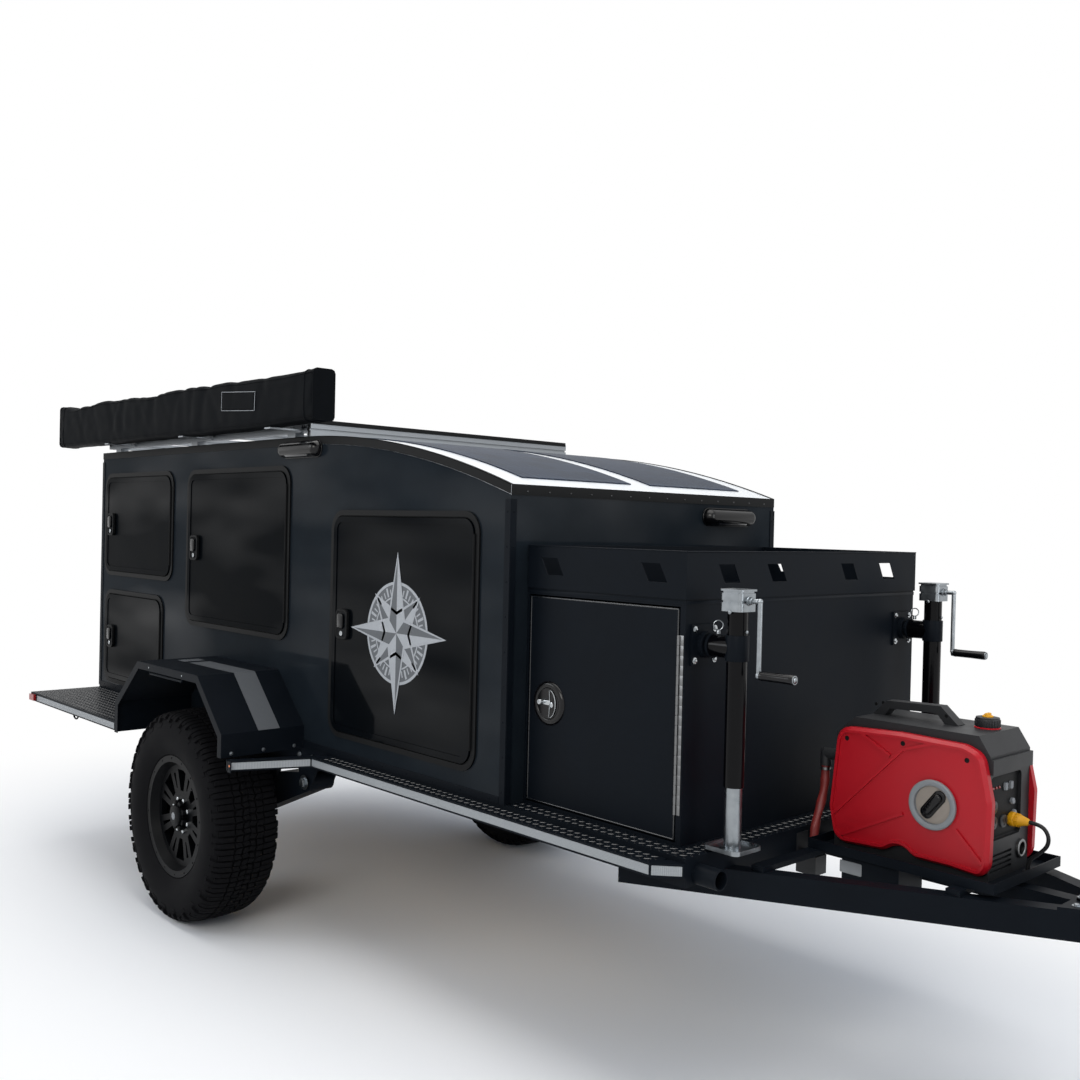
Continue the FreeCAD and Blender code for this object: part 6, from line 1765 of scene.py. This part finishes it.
def make_jack_fittings():
    """Bolts and bosses of the jack brackets, clamps, pull pins and the cranks' grips."""
    wall = BOX["tongue_box"][1].x
    bolts, bosses = Solid(), Solid()
    for side, sign in SIDES.items():
        body = f"{side}_corner_jack"
        tube_axis = fore(778, sign * 541, 1326)
        pivot = Vector((wall, tube_axis.y, tube_axis.z))
        for dy in (-44, 44):
            for dz in (-44, 44):
                bolt(bolts, moved(pivot, 6, dy, dz), FORWARD, 5.5, 4.5)
        lathe_band(bosses, seat(moved(pivot, 22, 0, 0), FORWARD),
                   [(37.4, -16), (37.4, -1.5), (35.5, 0.5), (25, 0.6)], 40)
        jack_dressing(f"jack_{side}", body, moved(tube_axis, 0, 0, 132.5))
        make_jack_clamp(side, body, tube_axis, pivot)
        make_pull_pin(side, body, pivot)
    piece("jack_bracket_bolts", bolts, "chrome", smooth=40)
    piece("jack_bracket_bosses", bosses, "black_powder_coat", smooth=40)
    low, high = BOX["tongue_jack_tube"]
    jack_dressing("tongue_jack", "trailer", Vector(((low.x + high.x) / 2, 0, 1119 * MM)))


def make_hitch_fittings():
    """Bolts of the coupler and of the tongue jack's flange."""
    bolts = Solid()
    low, high = BOX["tongue_jack_tube"]
    flange = Vector(((low.x + high.x) / 2, 0, 721 * MM))
    for dx in (-38, 38):
        for dy in (-34, 34):
            bolt(bolts, moved(flange, dx, dy, 0), UPWARD, 5.5, 4)
    top = moved((0, 0, BOX["coupler"][0].z), 0, 0, 74)
    for sign in (-1, 1):
        for x in (2380, 2430):
            bolt(bolts, moved(top, x, sign * (60 + (2455 - x) * 0.4), 0), UPWARD, 7, 5)
    piece("hitch_bolts", bolts, "zinc_plate", smooth=40)


# Generator

GENERATOR_FRONT = 1304
SHELL_FACE = 144
RECOIL_FACE = 155
HOOD_FACE = 20
TRAY_TOP = 725
RECOIL_RING = [(68.6, -7), (68.6, 0.2), (67, 1.8), (63, 2.2), (56, 1.4), (53, 0), (52, -9.6)]
RECOIL_DISH = [(53.4, -8.8), (49, -9.4), (40, -8.2), (0.2, -7.2)]
RIB_LINES = [((973, 856), (1057, 857)), ((921, 837), (1007, 833)), ((890, 820), (974, 818)),
             ((874, 803), (938, 796)), ((855, 790), (894, 790)), ((849, 778), (882, 773))]
RIB_SECTION = [(-1.9, -2.6), (0.9, -1.4), (1.3, 0), (0.9, 1.4), (-1.9, 2.6)]


def make_recoil_starters():
    """The recoil starters' rings, dishes and grips, and the screws and ribs of the shells."""
    rings, dishes, screws, ribs, grip = (Solid() for _ in range(5))
    for sign in (-1, 1):
        out = (0, sign, 0)
        place = seat(fore(1158, sign * RECOIL_FACE, 909), out)
        lathe_band(rings, place, RECOIL_RING, 56)
        lathe_band(dishes, place, RECOIL_DISH, 56)
        turned = tilt(place, 38 * sign)
        slab(grip, shift(turned, 0, 0, -8.4), (37, 94, 4), 17, 2, 7)
        slab(grip, shift(turned, 0, 2, -5), (25, 72, 12), 12, 5, 7)
        for k in range(4):
            slab(grip, shift(turned, 0, -16 + 9 * k, 6.6), (14, 2.4, 1.2), 1, 0.4)
        for x, z in ((883, 1050), (1061, 1062), (1250, 1046)):
            place = seat(fore(x, sign * SHELL_FACE, z), out)
            lathe(screws, place, [(7, -0.4), (7, 0.5), (5.6, 0.9), (5, 0.3)], 20)
        for x, z in ((846, 1080), (902, 1142), (1124, 1136), (1151, 1106)):
            place = seat(fore(x, sign * HOOD_FACE, z), out)
            lathe(screws, place, [(5, -0.4), (5, 0.4), (3.8, 0.6), (3.4, 0.2)], 16)
    for line in RIB_LINES:
        sweep(ribs, [fore(x, SHELL_FACE, z) for x, z in line], RIB_SECTION)
    ribs.mirror()
    piece("recoil_rings", rings, "grey_plastic", smooth=40)
    piece("recoil_dishes", dishes, "taupe_plastic", smooth=40)
    piece("recoil_grips", grip, "grip_plastic", smooth=40)
    piece("generator_screws", screws, "black_trim", smooth=40)
    piece("generator_ribs", ribs, "red_plastic", smooth=40)


def make_fuel_cap():
    """The knurled fuel cap with its yellow knob and the red ring round its neck."""
    cap = Solid()
    place = Matrix.Translation(fore(GENERATOR_FRONT - 82, 30, 1112))
    lathe_band(cap, place, [(31, 4), (33, 5), (33, 25), (31, 30), (27, 31), (0.2, 31)], 40)
    for angle in turns(26):
        spot = point_on(place, *polar(32.6, angle), 15)
        slab(cap, seat(spot, spoke(place, angle)), (4, 19, 2), 1.4, 0.7)
    piece("fuel_cap", cap, "dark_plastic", smooth=40)
    knob = Solid()
    lathe(knob, shift(place, 0, 0, 30.8), [(15, 0), (15, 3), (12.5, 5)], 28)
    slab(knob, shift(place, 0, 0, 33), (11, 27, 9), 4, 2.5, 5)
    piece("fuel_cap_knob", knob, "yellow_plastic", smooth=40)
    ring = Solid()
    lathe_band(ring, place, [(35.5, -1), (35.5, 2.4), (34, 3.6), (31, 3.8)], 40)
    piece("fuel_cap_ring", ring, "red_plastic", smooth=40)


def make_control_panel():
    """The control panel's plate with its sockets, switches, knobs and lamps."""
    sockets, dark, knobs, lamps = (Solid() for _ in range(4))
    face = seat(fore(GENERATOR_FRONT - 10, -20, 917), FORWARD)
    slab(dark, face, (176, 166, 1), 12, 0.4, 5)
    for x, y in ((-58, -42), (-58, 0), (2, -45)):
        spot = shift(face, x, y, 1)
        slab(sockets, spot, (40, 34, 4), 15, 1.2, 7)
        for dx in (-7, 7):
            slab(dark, shift(spot, dx, 3, 3.9), (2.4, 9, 0.5), 0.6, steps=2)
        lathe(dark, shift(spot, 0, -9, 3.9), [(2.8, 0), (2.8, 0.5)], 12)
    for x in (-62, -44, -26):
        lathe(lamps, shift(face, x, 52, 1), [(4, 0), (4, 1.6), (2.5, 2.8)], 16)
    for x in (8, 40):
        slab(knobs, shift(face, x, 50, 1), (16, 22, 7), 4, 2, 4)
    for x, y in ((50, 4), (62, -30), (50, -58)):
        lathe(knobs, shift(face, x, y, 1), [(9, 0), (9, 6), (7.4, 8)], 24)
    piece("control_panel_plate", dark, "black_trim", smooth=30)
    piece("control_panel_sockets", sockets, "socket_plastic", smooth=30)
    piece("control_panel_knobs", knobs, "grey_plastic", smooth=30)
    piece("control_panel_lamps", lamps, "red_lens", smooth=30)


def make_generator_steel():
    """The muffler's end ring, the sleeve's hose clamps and the tray's bolts."""
    steel = Solid()
    lathe_band(steel, seat(fore(GENERATOR_FRONT + 6, 72, 784), FORWARD),
               [(26.4, -5.8), (26.4, 0.2), (24.5, 1.4), (19, 1.4), (17, 0), (16.6, -14)], 36)
    first, last = (moved(point, WALL_X / MM, 0, 0) for point in (CONDUIT_ROUTE[0], CONDUIT_ROUTE[-1]))
    for spot in (moved(first, 0, 0, -14), moved(last, 0, 0, 8)):
        place = seat(spot, UPWARD, (0, 1, 0))
        lathe_band(steel, place, [(15, 0), (15.8, 0.6), (15.8, 8.4), (15, 9)], 28)
        block(steel, moved(spot, 13, -4, 0.5), moved(spot, 20, 4, 8.5))
    low, high = BOX["generator_tray"]
    for x in (low.x + 22 * MM, high.x - 22 * MM):
        for y in (-183, 183):
            bolt(steel, moved((x, 0, 0), 0, y, TRAY_TOP), UPWARD, 6, 4.5)
    piece("generator_steel", steel, "stainless", smooth=40)


def make_generator_fittings():
    """Recoil starters, fuel cap, control panel, steel parts, the lead's gland and a cover plate."""
    make_recoil_starters()
    make_fuel_cap()
    make_control_panel()
    make_generator_steel()
    x, y = LEAD_ROUTE[-1][:2]
    place = Matrix.Translation((WALL_X + x, y, TRAY_TOP * MM))
    gland = Solid()
    lathe_band(gland, place, [(15, 0), (15, 7), (13, 9)], 6)
    lathe_band(gland, place, [(13, 9), (12.4, 12.5), (8, 15), (5.6, 15.4)], 24)
    piece("lead_gland", gland, "dark_plastic", smooth=30)
    cover = Solid()
    face = BOX["battery_box"][0].y
    slab(cover, seat((WALL_X + 934 * MM, face, 689 * MM), (0, -1, 0)), (71, 35, 1.2), 3, 0.4)
    piece("battery_box_plate", cover, "grey_plastic", smooth=30)


# Rack, suspension and platforms

def make_rack_fittings():
    """End caps and bolts of the slotted extrusions, and the rubber strip on the front bar."""
    low, high = BOX["roof_rack"]
    caps, bolts = Solid(), Solid()
    nose_x = high.x - 15 * MM
    near, far = Vector((nose_x, low.y, high.z)), Vector((nose_x, high.y, high.z))
    block(caps, moved(near, -20.6, 6, -7), moved(far, 20.6, -6, 10), 2)
    length = high.x - 30 * MM - low.x
    for sign in (-1, 1):
        out = (0, sign, 0)
        slab(caps, seat((nose_x, sign * high.y, high.z - 30 * MM), out), (12, 42, 0.8), 3, 0.3)
        slab(caps, seat((low.x, sign * 680 * MM, high.z - 20 * MM), BACKWARD), (40, 40, 2), 3, 0.8)
        for share in (0.06, 0.5, 0.94):
            for dx in (-16, 16):
                spot = moved((low.x + length * share, sign * high.y, high.z), dx, 0, -20)
                bolt(bolts, spot, out, 5.5, 4)
    bracket_low, bracket_high = BOX["awning_brackets"]
    for share in (0.0, 0.39 / 0.81, 1.0):
        x = bracket_low.x + (bracket_high.x - bracket_low.x) * share
        for dx in (-14, 0, 14):
            spot = moved((x, 0, 0), dx + 3, -701, 2023)
            slab(caps, seat(spot, (0, -1, 0), (0.35, 0, 1)), (4, 20, 0.8), 1.5, 0.3)
    piece("rack_caps_and_strip", caps, "black_trim", smooth=30)
    piece("rack_bolts", bolts, "zinc_plate", smooth=40)


def make_underside_fittings():
    """Pivot nuts and plate bolts of the suspension, and loops below the platforms."""
    bolts = Solid()
    low, high = BOX["suspension_mounts"]
    pivot_x = WALL_X - 1190 * MM
    for sign in (-1, 1):
        out = (0, sign, 0)
        bolt(bolts, (pivot_x, sign * high.y, 620 * MM), out, 17, 11)
        for x in (low.x + 25 * MM, low.x + 120 * MM, pivot_x - 50 * MM, high.x - 25 * MM):
            bolt(bolts, (x, sign * 700 * MM, 722 * MM), out, 8, 6)
    piece("suspension_bolts", bolts, "zinc_plate", smooth=40)
    loops = Solid()
    low, high = BOX["side_platforms"]
    for sign in (-1, 1):
        middle = moved((low.x, 0, low.z), 560, sign * 1036, 4)
        path = [moved(middle, 30 * math.cos(a), 0, -24 * math.sin(a)) for a in spread(0, math.pi, 15)]
        path = [moved(path[0], 0, 0, 8), *path, moved(path[-1], 0, 0, 8)]
        tube(loops, path, 4, 10)
    piece("platform_loops", loops, "black_powder_coat", smooth=50)


# Operators

class TRAILER_OT_stage(bpy.types.Operator):
    """Set up the floor, the studio light and the camera"""

    bl_idname = "trailer.stage"
    bl_label = "Stage and camera"

    def execute(self, context):
        make_stage()
        return {"FINISHED"}


class TRAILER_OT_finishes(bpy.types.Operator):
    """Make the materials and give them to the construction"""

    bl_idname = "trailer.finishes"
    bl_label = "Finishes"

    def execute(self, context):
        make_finishes(context.scene.trailer_colours)
        return {"FINISHED"}


class TRAILER_OT_cords(bpy.types.Operator):
    """Lay the generator's lead and the red sleeve"""

    bl_idname = "trailer.cords"
    bl_label = "Cords"

    def execute(self, context):
        make_lead()
        make_sleeve()
        return {"FINISHED"}


class TRAILER_OT_tyres(bpy.types.Operator):
    """Make the tyres' treads"""

    bl_idname = "trailer.tyres"
    bl_label = "Tyres"

    def execute(self, context):
        make_tyres(context.scene.trailer_sizes)
        return {"FINISHED"}


class TRAILER_OT_wheels(bpy.types.Operator):
    """Make the wheels' caps, nuts and valves"""

    bl_idname = "trailer.wheels"
    bl_label = "Wheel fittings"

    def execute(self, context):
        make_wheel_fittings()
        return {"FINISHED"}


class TRAILER_OT_awning_bag(bpy.types.Operator):
    """Settle the awning bag's cloth over its load"""

    bl_idname = "trailer.awning_bag"
    bl_label = "Awning bag"

    def execute(self, context):
        make_awning_bag(context.scene.trailer_sizes)
        return {"FINISHED"}


class TRAILER_OT_cabin(bpy.types.Operator):
    """Make the cabin's trims, door latches, seals and badges"""

    bl_idname = "trailer.cabin"
    bl_label = "Cabin trim"

    def execute(self, context):
        make_roof_trims()
        make_wall_angles()
        make_door_fittings()
        make_badges()
        return {"FINISHED"}


class TRAILER_OT_lights(bpy.types.Operator):
    """Make the porch lights, lamp rims and markers"""

    bl_idname = "trailer.lights"
    bl_label = "Lights"

    def execute(self, context):
        make_lights()
        return {"FINISHED"}


class TRAILER_OT_fenders(bpy.types.Operator):
    """Make the fenders' stripes and bolts, the tread plate and the edge tape"""

    bl_idname = "trailer.fenders"
    bl_label = "Fenders and steps"

    def execute(self, context):
        make_fender_fittings()
        make_tread_plate(context.scene.trailer_sizes)
        make_edge_tape()
        return {"FINISHED"}


class TRAILER_OT_box(bpy.types.Operator):
    """Make the tongue box's hinges, latches and hems"""

    bl_idname = "trailer.box"
    bl_label = "Tongue box"

    def execute(self, context):
        make_box_fittings()
        return {"FINISHED"}


class TRAILER_OT_jacks(bpy.types.Operator):
    """Make the grips, pins and bolts of the jacks and the hitch"""

    bl_idname = "trailer.jacks"
    bl_label = "Jacks and hitch"

    def execute(self, context):
        make_jack_fittings()
        make_hitch_fittings()
        return {"FINISHED"}


class TRAILER_OT_generator(bpy.types.Operator):
    """Make the generator's starter, cap and control panel"""

    bl_idname = "trailer.generator"
    bl_label = "Generator"

    def execute(self, context):
        make_generator_fittings()
        return {"FINISHED"}


class TRAILER_OT_rack(bpy.types.Operator):
    """Make the rack's caps and bolts, and the underside's bolts and loops"""

    bl_idname = "trailer.rack"
    bl_label = "Rack and underside"

    def execute(self, context):
        make_rack_fittings()
        make_underside_fittings()
        return {"FINISHED"}


OPERATORS = (TRAILER_OT_stage, TRAILER_OT_finishes, TRAILER_OT_cords, TRAILER_OT_tyres, TRAILER_OT_wheels,
             TRAILER_OT_awning_bag, TRAILER_OT_cabin, TRAILER_OT_lights, TRAILER_OT_fenders,
             TRAILER_OT_box, TRAILER_OT_jacks, TRAILER_OT_generator, TRAILER_OT_rack)


class TRAILER_PT_panel(bpy.types.Panel):
    """Buttons for each group of pieces"""

    bl_idname = "TRAILER_PT_panel"
    bl_label = "Teardrop trailer"
    bl_space_type = "VIEW_3D"
    bl_region_type = "UI"
    bl_category = "Trailer"

    def draw(self, context):
        for kind in OPERATORS:
            self.layout.operator(kind.bl_idname)
        for group in (context.scene.trailer_sizes, context.scene.trailer_colours):
            for name in group.__annotations__:
                self.layout.prop(group, name)


CLASSES = (TrailerSizes, TrailerColours, *OPERATORS, TRAILER_PT_panel)


def register():
    for kind in CLASSES:
        bpy.utils.register_class(kind)
    bpy.types.Scene.trailer_sizes = PointerProperty(type=TrailerSizes)
    bpy.types.Scene.trailer_colours = PointerProperty(type=TrailerColours)


def unregister():
    del bpy.types.Scene.trailer_colours
    del bpy.types.Scene.trailer_sizes
    for kind in reversed(CLASSES):
        bpy.utils.unregister_class(kind)


def main():
    register()
    for kind in OPERATORS:
        group, name = kind.bl_idname.split(".")
        getattr(getattr(bpy.ops, group), name)()


if __name__ == "__main__":
    main()
